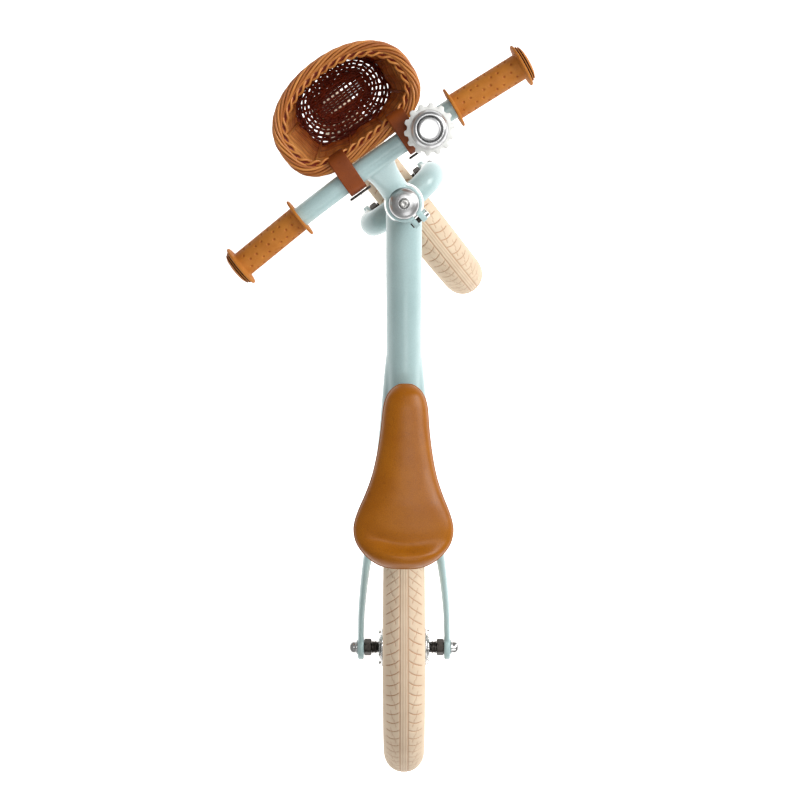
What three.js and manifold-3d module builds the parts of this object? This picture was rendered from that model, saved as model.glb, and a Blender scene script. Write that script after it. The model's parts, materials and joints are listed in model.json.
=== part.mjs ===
// A child's balance bike: a swept main tube that opens into two rear stays, a unicrown fork,
// two spoked 12-inch wheels, a padded saddle on a sliding post, and a bar with grips, bell and basket.
// Millimetres, +Z up, +Y forward, +X to the rider's right.
import * as THREE from "three";
import { mergeVertices } from "three/addons/utils/BufferGeometryUtils.js";
import Module from "manifold-3d";

const wasm = await Module();
wasm.setup();

const { Vector2, Vector3 } = THREE;
const degrees = THREE.MathUtils.degToRad;

// ---- Driving dimensions -------------------------------------------------------------------------
const GAP = 0.3; // clearance between pieces that touch on the real bike
const RUNNING = 0.5; // clearance round a shaft that turns or slides

// The rear axle is the measuring point; the origin is put under the middle of the whole bike.
const MIDDLE = { x: -24, y: 272 };
const WHEEL_RADIUS = 152.5;
const TYRE_RADIUS = 24.5;
const BEAD_RADIUS = 104; // where the tyre sits on the rim
const RIM_INNER = 91.2;
const WHEEL_SIDES = 36;
const SPOKES_PER_SIDE = 8;

// What stands on each end of the rear axle, outwards from the wheel: [inner x, outer x].
const HUB_HALF = 28.6;
const DISH = [28.9, 33];
const CONE = [33.3, 40.0];
const LOCK_NUT = [40.3, 49.3];
const DROPOUT = [49.6, 57.0];
const DOME_NUT = [57.3, 69.0];
const NARROWER = { rear: 0, front: 10.5 }; // how much nearer the middle each wheel's set stands
const AXLE_RADIUS = 4.7;
const NUT_RADIUS = 10.4; // across corners, halved

// Steering: the axis leans back, and the wheel and the bar stand turned to the left.
const HEAD_LEAN = degrees(13);
const STEER_TOP = [0, 473.7, 501]; // centre of the top cap, on the steering axis
const FORK_TURN = degrees(39);
const BAR_TRIM = degrees(-4.3); // the stem is clamped this much short of square to the wheel
const FORK_OFFSET = 11;
const AXLE_DROP = 360.6; // along the steering axis, from the top cap to the front axle

const STEERER_RADIUS = 12.7;
const HEAD_TUBE = { outer: 19, inner: 15.5, top: -52, bottom: -140 };
const CROWN_TOP = -146;
const CROWN_RADIUS = 14;

// Main frame, seen from the side, in the bike's middle plane.
const MAIN_RADIUS = 19;
const MAIN_PATH = [[482, 425], [440, 409], [384, 386], [300, 345], [205, 296]];
const SEAT_AXIS = { y: 205, z: 298, lean: degrees(15) };
const SEAT_TUBE = { outer: 16, inner: 13.3, top: 34, bottom: -52 };
const SEAT_POST = { radius: 12.7, top: 73, bottom: -48 };

// Right rear stay: [y, z, outer face's x, width, height] from the main tube to the axle.
const STAY = [
  [322, 351, 21.6, 16, 26],
  [262, 319, 27.6, 16, 27],
  [205, 284, 34.5, 15, 27],
  [150, 247, 43.2, 12.5, 26],
  [95, 209, 51, 9.6, 25],
  [50, 178, 55.6, 8.2, 23],
  [14, 158, 57, 7.4, 22],
];
const DROPOUT_RADIUS = 16;

// Right fork leg: [x, y, z, half width across, half width fore and aft] in the steering frame.
const FORK_LEG = [
  [0.2, 0, -160, 14, 14],
  [18, 0, -160, 14, 14],
  [33, 1, -165, 14, 14],
  [42, 3, -183, 13.6, 14],
  [43.4, 4.5, -215, 11.6, 13.6],
  [43.8, 6.2, -275, 7.6, 12],
  [43, 9.6, -336, 3.6, 10.8],
  [42.8, 10.8, -357, 3.6, 10],
];

// Stem and bar, in the bar's frame: x along the bar, y forward, z up the steering axis.
const COLLAR = { outer: 18.2, inner: 13.2, top: -3.6, bottom: -34 };
const EAR = { reach: 27, thick: 5.6, slit: 4.2, height: 19, turn: degrees(8) };
const BAR = { y: 49, z: 33, radius: 10, sweep: 6.7 };
const GRIP = { inner: 89.4, outer: 163.7, radius: 12.7, bore: 10.3, flange: 19.7, end: 173 };

const BELL = { x: 59, y: 43, foot: 43.3, gear: 57, teeth: 14, tip: 24.2, root: 21.3 };

// Basket: loops with a middle, a half width, and a depth in front of and behind the middle.
const BASKET_TOP = { x: 4.5, y: 107, z: 33, half: 73, front: 48.5, back: 45.5 };
const BASKET_FOOT = { x: 7, y: 124, z: -67, half: 52, front: 40, back: 39.5 };
const BASKET_WALL = 3.6;
const BASKET_FLAT = 0.64; // under 1 flattens the basket's back
const BASKET_RIM = 4.6;
const STRAP = { width: 18, thick: 2.6, leftX: -28.5, rightX: 40.5 };

// Saddle outline: [y, half width, top z] from the tail to the nose.
const SADDLE = [
  [106.5, 3, 391],
  [109.3, 20.5, 397],
  [116.5, 33.5, 403.5],
  [127.3, 45.8, 403],
  [148, 52.9, 399],
  [169.6, 48.3, 398.5],
  [192.8, 38.4, 398],
  [216.8, 31.5, 397],
  [254.3, 25.6, 397.5],
  [282, 22.4, 398],
  [294.7, 18.5, 395.5],
  [302.8, 11, 390],
  [304.8, 3, 386.5],
];
const SADDLE_TURN = degrees(-1); // the saddle is clamped a little askew
const SADDLE_FLOOR = 382;
const SADDLE_PAN = 3;

// ---- Materials ----------------------------------------------------------------------------------
function finish(color, roughness, metalness = 0) {
  return new THREE.MeshStandardMaterial({ color, roughness, metalness });
}
const paint = () => finish(0xb2c8c6, 0.35, 0.1);
const chrome = () => finish(0xd8d8d8, 0.15, 1);
const steel = () => finish(0x9a9a96, 0.35, 1);
const darkSteel = () => finish(0x2e2c2a, 0.5, 0.8);
const tyreRubber = () => finish(0xe1cdaf, 0.85);
const gripRubber = () => finish(0xb97a33, 0.7);
const leatherette = () => finish(0xa5601a, 0.55);
const strapLeather = () => finish(0x7a3a14, 0.6);
const wicker = () => finish(0xcd8c4b, 0.7);
const whitePlastic = () => finish(0xf0f0ec, 0.4);
const blackPlastic = () => finish(0x1c1c1c, 0.6);

// ---- Geometry helpers ---------------------------------------------------------------------------
function signedVolume(geometry) {
  const at = geometry.toNonIndexed().getAttribute("position");
  const [a, b, c] = [new Vector3(), new Vector3(), new Vector3()];
  let volume = 0;
  for (let i = 0; i < at.count; i += 3) {
    a.fromBufferAttribute(at, i);
    b.fromBufferAttribute(at, i + 1);
    c.fromBufferAttribute(at, i + 2);
    volume += a.dot(b.cross(c)) / 6;
  }
  return volume;
}

// Bare positions with shared corners merged and every face turned outwards.
function closed(geometry) {
  const bare = new THREE.BufferGeometry();
  bare.setAttribute("position", geometry.getAttribute("position"));
  bare.setIndex(geometry.index);
  const merged = mergeVertices(bare, 1e-4);
  const index = merged.index.array;
  if (signedVolume(merged) < 0) {
    for (let i = 0; i < index.length; i += 3) {
      [index[i + 1], index[i + 2]] = [index[i + 2], index[i + 1]];
    }
  }
  return merged;
}

function solid(geometry) {
  const body = closed(geometry);
  const vertProperties = new Float32Array(body.getAttribute("position").array);
  const triVerts = new Uint32Array(body.index.array);
  return new wasm.Manifold(new wasm.Mesh({ numProp: 3, vertProperties, triVerts }));
}

function geometryOf(body) {
  const mesh = body.getMesh();
  const geometry = new THREE.BufferGeometry();
  geometry.setAttribute("position", new THREE.BufferAttribute(mesh.vertProperties, 3));
  return geometry.setIndex(new THREE.BufferAttribute(mesh.triVerts, 1));
}

function cut(geometry, ...tools) {
  return geometryOf(tools.reduce((body, tool) => body.subtract(solid(tool)), solid(geometry)));
}

function join(geometry, ...others) {
  return geometryOf(others.reduce((body, other) => body.add(solid(other)), solid(geometry)));
}

// A profile of [radius, height] pairs turned about Z.
function turned(profile, sides = 24) {
  const points = profile.map(([r, z]) => new Vector2(r, z));
  return new THREE.LatheGeometry(points, sides).rotateX(Math.PI / 2);
}

function ring(inner, outer, low, high, sides = 24) {
  return turned([[inner, low], [outer, low], [outer, high], [inner, high], [inner, low]], sides);
}

function disc(radius, low, high, sides = 24) {
  return turned([[0, low], [radius, low], [radius, high], [0, high]], sides);
}

// Turns a shape made along Z so that it lies along X.
function alongX(geometry) {
  return geometry.rotateY(Math.PI / 2);
}

function box(low, high) {
  const size = high.map((v, i) => v - low[i]);
  return new THREE.BoxGeometry(...size).translate(...high.map((v, i) => v - size[i] / 2));
}

// A skin over closed loops of the same number of points, with flat ends, or joined end to end.
function loft(loops, joined = false) {
  const sides = loops[0].length;
  const points = loops.flat();
  const faces = [];
  const spans = joined ? loops.length : loops.length - 1;
  for (let i = 0; i < spans; i++) {
    const a = i * sides;
    const b = ((i + 1) % loops.length) * sides;
    for (let j = 0; j < sides; j++) {
      const k = (j + 1) % sides;
      faces.push(a + j, a + k, b + k, a + j, b + k, b + j);
    }
  }
  if (!joined) {
    const last = (loops.length - 1) * sides;
    for (let j = 1; j < sides - 1; j++) {
      faces.push(0, j + 1, j, last, last + j, last + j + 1);
    }
  }
  return closed(new THREE.BufferGeometry().setFromPoints(points).setIndex(faces));
}

function ovalLoop(centre, across, up, halfAcross, halfUp, sides) {
  return Array.from({ length: sides }, (_, i) => {
    const t = (2 * Math.PI * (i + 0.5)) / sides;
    const point = centre.clone().addScaledVector(across, halfAcross * Math.cos(t));
    return point.addScaledVector(up, halfUp * Math.sin(t));
  });
}

// A tube along a smooth path; sizeAt(t) gives its half widths, and side is near the first of them.
function swept(points, sizeAt, steps, sides, side = new Vector3(1, 0, 0)) {
  const curve = new THREE.CatmullRomCurve3(points, false, "centripetal");
  const loops = [];
  for (let i = 0; i <= steps; i++) {
    const t = i / steps;
    const along = curve.getTangent(t);
    const up = new Vector3().crossVectors(along, side).normalize();
    const across = new Vector3().crossVectors(up, along);
    loops.push(ovalLoop(curve.getPoint(t), across, up, ...sizeAt(t), sides));
  }
  return loft(loops);
}

// Reads column values of a table at a share t of its rows.
function readTable(rows, columns, t) {
  const place = t * (rows.length - 1);
  const i = Math.min(Math.floor(place), rows.length - 2);
  const share = place - i;
  return columns.map((c) => rows[i][c] + (rows[i + 1][c] - rows[i][c]) * share);
}

function mirrored(geometry) {
  return closed(geometry.clone().scale(-1, 1, 1));
}

function add(parent, name, geometry, material) {
  const mesh = new THREE.Mesh(closed(geometry), material);
  mesh.name = name;
  parent.add(mesh);
  return mesh;
}

// Both sides of a pair that mirror each other.
function addPair(parent, name, right, material) {
  add(parent, "right_" + name, right, material());
  add(parent, "left_" + name, mirrored(right), material());
}

// ---- Main frame ---------------------------------------------------------------------------------
function mainTubeShape(radius) {
  const points = MAIN_PATH.map(([y, z]) => new Vector3(0, y, z));
  return swept(points, () => [radius, radius], 8, 20);
}

// Shapes given along the seat axis, with height 0 where it crosses the main tube.
function onSeatAxis(geometry) {
  return geometry.rotateX(SEAT_AXIS.lean).translate(0, SEAT_AXIS.y, SEAT_AXIS.z);
}

// Shapes given along the steering axis, with height 0 at the top cap.
function onSteeringAxis(geometry) {
  return geometry.rotateX(HEAD_LEAN).translate(...STEER_TOP);
}

function mainTube() {
  const head = onSteeringAxis(disc(HEAD_TUBE.outer + GAP, HEAD_TUBE.bottom - 30, 0, 32));
  const beyondHead = box([-30, 486, 380], [30, 520, 460]);
  const seat = onSeatAxis(disc(SEAT_TUBE.outer + GAP, SEAT_TUBE.bottom - 10, 40, 32));
  const beyondSeat = box([-30, 150, 250], [30, SEAT_AXIS.y - 2, 360]);
  return cut(mainTubeShape(MAIN_RADIUS), head, beyondHead, seat, beyondSeat);
}

function rearStay() {
  const points = STAY.map(([y, z, outer, width]) => new Vector3(outer - width / 2, y, z));
  const sizes = (t) => readTable(STAY, [3, 4], t).map((v) => v / 2);
  const blade = swept(points, sizes, 12, 12);
  const plate = alongX(disc(DROPOUT_RADIUS, ...DROPOUT, 24)).translate(0, 0, WHEEL_RADIUS);
  const seat = onSeatAxis(disc(SEAT_TUBE.outer + GAP, SEAT_TUBE.bottom - 20, 60, 32));
  const axle = alongX(disc(AXLE_RADIUS + GAP, 40, 70, 16)).translate(0, 0, WHEEL_RADIUS);
  const otherSide = box([-40, 150, 200], [GAP, 400, 460]);
  return cut(join(blade, plate), mainTubeShape(MAIN_RADIUS + GAP), seat, axle, otherSide);
}

function seatTube() {
  const { outer, inner, top, bottom } = SEAT_TUBE;
  return onSeatAxis(ring(inner, outer, bottom, top, 32));
}

// The collar is split at the back and has two ears for its bolt.
function seatClamp() {
  const collar = ring(SEAT_TUBE.inner + GAP, 19.5, SEAT_TUBE.top + GAP, SEAT_TUBE.top + 13, 32);
  const ears = box([-7, -29, SEAT_TUBE.top + 1.5], [7, -15, SEAT_TUBE.top + 12]);
  const slit = box([-1.5, -32, 0], [1.5, -10, 60]);
  const bore = disc(SEAT_TUBE.inner + GAP, 0, 60, 32);
  const hole = alongX(disc(3, -20, 20, 12)).translate(0, -24.5, SEAT_TUBE.top + 6.7);
  return onSeatAxis(cut(join(collar, ears), bore, slit, hole));
}

function capBolt(radius, head, length, headHeight) {
  const socket = turned([[0, -headHeight * 0.6], [head * 0.5, -headHeight * 0.6], [head * 0.5, 1], [0, 1]], 6);
  return cut(join(disc(radius, -length, -headHeight + 0.5, 12), disc(head, -headHeight, 0, 16)), socket);
}

function seatClampBolt() {
  const bolt = alongX(capBolt(2.7, 4.8, 20, 4.4)).translate(11.6, -24.5, SEAT_TUBE.top + 6.7);
  return onSeatAxis(bolt);
}

function headTube() {
  const { outer, inner, top, bottom } = HEAD_TUBE;
  return onSteeringAxis(ring(inner, outer, bottom, top, 32));
}

function headsetCup(low, high, radius, bore) {
  return onSteeringAxis(ring(bore, radius, low, high, 32));
}

function buildFrame(bike) {
  add(bike, "main_tube", mainTube(), paint());
  addPair(bike, "rear_stay", rearStay(), paint);
  add(bike, "head_tube", headTube(), paint());
  add(bike, "seat_tube", seatTube(), paint());
  add(bike, "seat_clamp", seatClamp(), chrome());
  add(bike, "seat_clamp_bolt", seatClampBolt(), steel());
  const { top, bottom } = HEAD_TUBE;
  const bore = STEERER_RADIUS + RUNNING;
  add(bike, "upper_headset_cup", headsetCup(top + GAP, top + 6, 20.2, bore), chrome());
  add(bike, "lower_headset_cup", headsetCup(bottom - 4.5, bottom - GAP, 20.2, bore), chrome());
}

// ---- Saddle -------------------------------------------------------------------------------------
// One cross-section: a flat floor, rounded sides and a domed top.
function saddleLoop([y, half, top], floor, crown) {
  const arc = 14;
  const loop = [new Vector3(half * 0.86, y, floor), new Vector3(-half * 0.86, y, floor)];
  for (let i = 0; i <= arc; i++) {
    const t = Math.PI - (Math.PI * i) / arc;
    const rise = Math.sin(t) ** crown;
    loop.push(new Vector3(half * Math.cos(t), y, floor + 2.5 + (top - floor - 2.5) * rise));
  }
  return loop;
}

function saddleCover() {
  return loft(SADDLE.map((row) => saddleLoop(row, SADDLE_FLOOR, 0.62)));
}

function saddlePan() {
  const loops = SADDLE.slice(1, -1).map(([y, half]) => {
    const outline = [[-0.8, 0], [0.8, 0], [0.84, SADDLE_PAN], [-0.84, SADDLE_PAN]];
    return outline.map(([x, z]) => new Vector3(half * x, y, SADDLE_FLOOR - SADDLE_PAN - GAP + z));
  });
  return loft(loops);
}

// A bent wire: two runs under the pan that meet at the nose.
function saddleRail() {
  const z = SADDLE_FLOOR - SADDLE_PAN - 4.4;
  const side = [[24, 128], [22, 150], [21, 200], [18, 240], [10, 274]];
  const right = side.map(([x, y]) => new Vector3(x, y, z));
  const left = side.map(([x, y]) => new Vector3(-x, y, z)).reverse();
  const points = [...right, new Vector3(0, 283, z), ...left];
  return swept(points, () => [3.4, 3.4], 36, 8, new Vector3(0, 0, 1));
}

// A block on the post's head that grips both runs of the rail from below.
function saddleClamp() {
  const z = SADDLE_FLOOR - SADDLE_PAN - 4.4;
  const block = box([-28, 183, z - 9], [28, 213, z + 1]);
  const { radius, top } = SEAT_POST;
  const head = onSeatAxis(disc(radius + 3.6, top - 14, top + 3, 24));
  const post = onSeatAxis(disc(radius + GAP, 0, top + GAP, 24));
  const points = [[22, 150], [21, 200], [18, 240]].map(([x, y]) => new Vector3(x, y, z));
  const groove = swept(points, () => [3.9, 3.9], 6, 12, new Vector3(0, 0, 1));
  const above = box([-40, 150, z + 1], [40, 240, z + 30]);
  return cut(join(block, head), post, groove, mirrored(groove), above);
}

function buildSaddle(saddle) {
  add(saddle, "saddle_cover", saddleCover(), leatherette());
  add(saddle, "saddle_pan", saddlePan(), blackPlastic());
  add(saddle, "saddle_rail", saddleRail(), darkSteel());
  add(saddle, "saddle_clamp", saddleClamp(), darkSteel());
  const { radius, bottom, top } = SEAT_POST;
  add(saddle, "seat_post", onSeatAxis(disc(radius, bottom, top, 24)), chrome());
}

// ---- Wheels, made round X with their middle at the origin ---------------------------------------
function tyreShape() {
  const centre = WHEEL_RADIUS - TYRE_RADIUS;
  const tread = 4; // half width of the flat crown
  const stretch = 1 / Math.cos(Math.PI / WHEEL_SIDES); // flats, not corners, at the full radius
  const profile = [[BEAD_RADIUS, -12], [WHEEL_RADIUS, -tread], [WHEEL_RADIUS, tread], [BEAD_RADIUS, 12]];
  const arc = [];
  for (let i = 1; i <= 4; i++) {
    const t = degrees(-138 + i * 27);
    arc.push([centre + TYRE_RADIUS * Math.cos(t), TYRE_RADIUS * Math.sin(t)]);
  }
  const back = arc.map(([r, x]) => [r, -x]).reverse();
  const loop = [profile[0], ...arc, profile[1], profile[2], ...back, profile[3], profile[0]];
  const turnedLoop = loop.map(([r, x]) => [r * stretch, x]);
  const halfStep = Math.PI / WHEEL_SIDES;
  return alongX(turned(turnedLoop, WHEEL_SIDES).rotateZ(halfStep));
}

function rimShape() {
  const outer = BEAD_RADIUS - 0.8;
  const profile = [[outer, -12], [outer, 12], [outer - 5, 12.5], [RIM_INNER, 6], [RIM_INNER, -6]];
  profile.push([outer - 5, -12.5], profile[0]);
  return alongX(turned(profile, WHEEL_SIDES));
}

// Hub shell: two flanges on a waisted barrel with an open bore.
function hubShell(half) {
  const bore = AXLE_RADIUS + RUNNING;
  const right = [[12, 6], [14, half - 6], [23, half - 3.4], [23.3, half - 0.6], [21, half]];
  const left = right.map(([r, x]) => [r, -x]).reverse();
  return alongX(turned([[bore, -half], ...left, ...right, [bore, half], [bore, -half]], 16));
}

function spoke(half, side, i) {
  const step = (2 * Math.PI) / SPOKES_PER_SIDE;
  const start = step * (i + (side > 0 ? 0 : 0.5));
  const lean = degrees(i % 2 ? 38 : -38);
  const at = (r, angle, x) => new Vector3(x, r * Math.sin(angle), r * Math.cos(angle));
  const from = at(20, start, side * (half - 2));
  const end = at(RIM_INNER - 1.4, start + lean * 0.62, side * 3);
  const axis = new Vector3().subVectors(end, from);
  const bar = new THREE.CylinderGeometry(1.1, 1.1, axis.length(), 5);
  const turn = new THREE.Quaternion().setFromUnitVectors(new Vector3(0, 1, 0), axis.clone().normalize());
  bar.applyQuaternion(turn);
  return bar.translate(...from.add(end).multiplyScalar(0.5).toArray());
}

function spokedHub(half) {
  const bars = [];
  for (const side of [-1, 1]) {
    for (let i = 0; i < SPOKES_PER_SIDE; i++) bars.push(spoke(half, side, i));
  }
  return join(hubShell(half), ...bars);
}

function dish() {
  const bore = AXLE_RADIUS + RUNNING;
  const [low, high] = DISH;
  const profile = [[bore, low], [15.2, low], [15.2, low + 2], [11, high], [bore, high], [bore, low]];
  return alongX(turned(profile, 20));
}

function cone() {
  const bore = AXLE_RADIUS + GAP;
  const [low, high] = CONE;
  return alongX(turned([[bore, low], [6, low], [7.3, low + 2], [7.3, high], [bore, high], [bore, low]], 12));
}

function hexNut() {
  const bore = disc(AXLE_RADIUS + GAP, LOCK_NUT[0] - 1, LOCK_NUT[1] + 1, 16);
  return alongX(cut(disc(NUT_RADIUS, ...LOCK_NUT, 6), bore));
}

function domeNut() {
  const [low, high] = DOME_NUT;
  const bore = AXLE_RADIUS + GAP;
  const profile = [[bore, low], [9.3, low], [9.3, low + 1.6], [7.6, low + 2], [7.6, high - 4], [6, high - 1.4]];
  profile.push([3, high], [0, high], [0, high - 4], [bore, high - 4], [bore, low]);
  return alongX(turned(profile, 12));
}

function buildWheel(parent, name, place) {
  const wheel = new THREE.Group();
  wheel.position.set(...place);
  parent.add(wheel);
  const put = (part, geometry, material) => add(wheel, name + "_" + part, geometry, material);
  put("tyre", tyreShape(), tyreRubber());
  put("rim", rimShape(), chrome());
  const inset = NARROWER[name];
  put("hub_and_spokes", spokedHub(HUB_HALF - inset), chrome());
  const end = DOME_NUT[1] - 4.4 - inset;
  put("axle", alongX(disc(AXLE_RADIUS, -end, end, 16)), steel());
  const ends = { hub_dish: [dish, chrome], cone: [cone, darkSteel], lock_nut: [hexNut, darkSteel] };
  ends.dome_nut = [domeNut, chrome];
  for (const [part, [shape, material]] of Object.entries(ends)) {
    const right = shape().translate(-inset, 0, 0);
    put("right_" + part, right, material());
    put("left_" + part, mirrored(right), material());
  }
}

// ---- Fork and headset, in the steering frame ----------------------------------------------------
function forkLeg() {
  const sizes = (t) => readTable(FORK_LEG, [4, 3], t);
  const points = FORK_LEG.map(([x, y, z]) => new Vector3(x, y, z));
  const leg = swept(points, sizes, 14, 14, new Vector3(0, 1, 0));
  const plate = alongX(disc(13, ...DROPOUT, 24)).translate(-NARROWER.front, FORK_OFFSET, -AXLE_DROP);
  const axle = alongX(disc(AXLE_RADIUS + GAP, 30, 60, 16)).translate(0, FORK_OFFSET, -AXLE_DROP);
  const steerer = disc(STEERER_RADIUS + GAP, CROWN_TOP - 6, 0, 24);
  const otherSide = box([-40, -40, -200], [GAP / 2, 40, -100]);
  return cut(join(leg, plate), axle, steerer, otherSide);
}

function steerer() {
  return ring(10.2, STEERER_RADIUS, CROWN_TOP - 6 + GAP, COLLAR.top - 1, 24);
}

function headsetCover() {
  const low = HEAD_TUBE.top + 6.4;
  const high = COLLAR.bottom - GAP;
  const bore = STEERER_RADIUS + GAP;
  const profile = [[bore, low], [20.4, low], [20.4, low + 4], [18.6, high - 2], [18.6, high], [bore, high]];
  return turned([...profile, profile[0]], 32);
}

function topCap() {
  const profile = [[4.4, -3], [14.3, -3], [14.3, -1.4], [12.6, 1], [8.5, 2.9], [4.4, 3.4], [4.4, -3]];
  return turned(profile, 28);
}

function topCapBolt() {
  return capBolt(2.8, 4.1, 34, 5).translate(0, 0, 4.4);
}

// ---- Stem and bar -------------------------------------------------------------------------------
function stemShape() {
  const { outer, inner, top, bottom } = COLLAR;
  const collar = disc(outer, bottom, top, 32);
  const half = EAR.slit / 2 + EAR.thick;
  const middle = (top + bottom) / 2;
  const ears = box([-half, -EAR.reach, middle - EAR.height / 2], [half, -outer + 4, middle + EAR.height / 2]);
  const path = [[6, -16], [20, -8], [34, 9], [BAR.y, BAR.z - 4]];
  const neck = swept(path.map(([y, z]) => new Vector3(0, y, z)), (t) => [14 + 4 * t ** 2, 12 - 3 * t], 5, 16);
  const beyondBar = box([-30, BAR.y - 1, -20], [30, BAR.y + 40, BAR.z + 40]);
  const aboveBar = box([-30, BAR.y - 30, BAR.z + BAR.radius - 1], [30, BAR.y + 10, BAR.z + 40]);
  const bore = disc(inner, bottom - 5, 60, 32);
  const capRoom = disc(14.3 + GAP, top, 60, 32);
  const slit = box([-EAR.slit / 2, -40, bottom - 5], [EAR.slit / 2, -5, top + 5]);
  const boltHole = alongX(disc(3.1, -30, 30, 12)).translate(0, -EAR.reach + 5, middle);
  for (const piece of [ears, slit, boltHole]) piece.rotateZ(EAR.turn);
  const barRoom = alongX(disc(BAR.radius + RUNNING, -60, 60, 24)).translate(0, BAR.y, BAR.z);
  return cut(join(collar, ears, neck), bore, capRoom, slit, boltHole, barRoom, beyondBar, aboveBar);
}

function pinchBolt() {
  const middle = (COLLAR.top + COLLAR.bottom) / 2;
  const side = EAR.slit / 2 + EAR.thick + 4.6;
  const bolt = alongX(capBolt(2.8, 4.6, 2 * side - 2, 4.3));
  return bolt.translate(side, -EAR.reach + 5, middle).rotateZ(EAR.turn);
}

// The bar's middle line bends back towards both ends.
function barPoint(x) {
  return new Vector3(x, BAR.y - BAR.sweep * (x / GRIP.outer) ** 2, BAR.z);
}

function barShape(radius, from, to, steps) {
  const points = Array.from({ length: steps + 1 }, (_, i) => barPoint(from + ((to - from) * i) / steps));
  return swept(points, () => [radius, radius], steps, 16, new Vector3(0, 0, 1));
}

// The grip is a sleeve with a thin flange at each end and a rounded end cap.
function gripShape() {
  const { inner, outer, radius, flange, end } = GRIP;
  const length = end - inner;
  const neck = outer - inner;
  const outside = [[flange, 0], [flange, 2.2], [radius, 3.2], [radius, neck - 1], [flange + 1, neck]];
  outside.push([flange + 1, neck + 2.4], [15.5, neck + 3.6], [15.5, neck + 7], [11, length - 0.6], [0, length]);
  const sleeve = turned([[0, 0], ...outside], 20);
  const direction = barPoint(end).sub(barPoint(inner)).normalize();
  const turn = new THREE.Quaternion().setFromUnitVectors(new Vector3(0, 0, 1), direction);
  sleeve.applyQuaternion(turn).translate(...barPoint(inner).toArray());
  return cut(sleeve, barShape(GRIP.bore + GAP, inner - 15, end - 4, 2));
}

function buildStemAndBar(bar) {
  add(bar, "stem", stemShape(), paint());
  add(bar, "stem_pinch_bolt", pinchBolt(), darkSteel());
  add(bar, "handlebar", barShape(BAR.radius, -GRIP.end + 6, GRIP.end - 6, 12), paint());
  addPair(bar, "grip", gripShape(), gripRubber);
}

// ---- Bell ---------------------------------------------------------------------------------------
function bellFoot() {
  const { x, y, foot, gear } = BELL;
  const rest = barPoint(x);
  const band = alongX(ring(BAR.radius + 2 * GAP, BAR.radius + 2.8, x - 7, x + 7, 20));
  band.translate(0, rest.y, rest.z);
  const post = disc(6.5, foot, gear - GAP, 20).translate(x, y, 0);
  const plate = disc(15, gear - 5, gear - GAP, 24).translate(x, y, 0);
  const pin = disc(3.4, gear - 1, gear + 5, 12).translate(x, y, 0);
  const barRoom = alongX(disc(BAR.radius + 1, x - 20, x + 20, 24)).translate(0, rest.y, rest.z);
  return join(cut(post, barRoom), band, plate, pin);
}

function gearOutline() {
  const { teeth, tip, root } = BELL;
  const outline = [];
  for (let i = 0; i < teeth * 4; i++) {
    const angle = (2 * Math.PI * (i + 0.5)) / (teeth * 4);
    const radius = i % 4 < 2 ? tip : root;
    outline.push(new Vector2(radius * Math.cos(angle), radius * Math.sin(angle)));
  }
  return new THREE.Shape(outline);
}

function bellGear() {
  const { x, y, gear } = BELL;
  const wheel = new THREE.ExtrudeGeometry(gearOutline(), { depth: 5, bevelEnabled: false });
  return cut(wheel, disc(4, -1, 6, 16)).translate(x, y, gear);
}

function bellDome() {
  const low = BELL.gear + 5 + GAP;
  const profile = [[4, low], [17.9, low], [17.9, low + 5], [16.6, low + 8], [13, low + 10.4], [11.8, low + 9.6]];
  profile.push([4, low + 9.6], [4, low]);
  return turned(profile, 28).translate(BELL.x, BELL.y, 0);
}

function bellCap() {
  const low = BELL.gear + 15 + 2 * GAP - 0.1;
  return turned([[0, low], [10.5, low], [10.5, low + 1.4], [9, low + 2.4], [0, low + 2.4]], 24)
    .translate(BELL.x, BELL.y, 0);
}

function buildBell(bar) {
  add(bar, "bell_foot", bellFoot(), blackPlastic());
  add(bar, "bell_gear_ring", bellGear(), whitePlastic());
  add(bar, "bell_dome", bellDome(), chrome());
  add(bar, "bell_cap", bellCap(), chrome());
}

// ---- Basket -------------------------------------------------------------------------------------
// A horizontal loop of the basket at a share t of its height, grown outwards by some millimetres.
function basketLoop(t, grow, sides = 32) {
  const mix = (key) => BASKET_FOOT[key] + (BASKET_TOP[key] - BASKET_FOOT[key]) * t;
  return Array.from({ length: sides }, (_, i) => {
    const angle = (2 * Math.PI * i) / sides;
    const [c, s] = [Math.cos(angle), Math.sin(angle)];
    const power = s < 0 ? BASKET_FLAT : 0.95;
    const depth = (s < 0 ? mix("back") : mix("front")) + grow;
    const x = mix("x") + (mix("half") + grow) * Math.sign(c) * Math.abs(c) ** power;
    return new Vector3(x, mix("y") + depth * Math.sign(s) * Math.abs(s) ** power, mix("z"));
  });
}

// How far the rim has curved away from the bar at a place along it.
function rimRetreat(x) {
  const share = Math.abs(x - BASKET_TOP.x) / BASKET_TOP.half;
  return BASKET_TOP.back * (1 - (1 - share ** (2 / BASKET_FLAT)) ** (BASKET_FLAT / 2));
}

function basketWall() {
  const outer = [0, 0.5, 1].map((t) => basketLoop(t, 0));
  const inner = [1, 0.5, 0].map((t) => basketLoop(t, -BASKET_WALL));
  const slots = [STRAP.leftX, STRAP.rightX].map((x) => {
    const half = STRAP.width / 2 + GAP;
    const rest = barPoint(x);
    return box([-half, 8, -18.4], [half, 36, -9.4]).translate(x, rest.y, rest.z);
  });
  return cut(loft([...outer, ...inner], true), ...slots);
}

function basketBase() {
  const low = basketLoop(0, -BASKET_WALL - GAP);
  const high = basketLoop(0.045, -BASKET_WALL - GAP - 1);
  return loft([low, high]);
}

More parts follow.
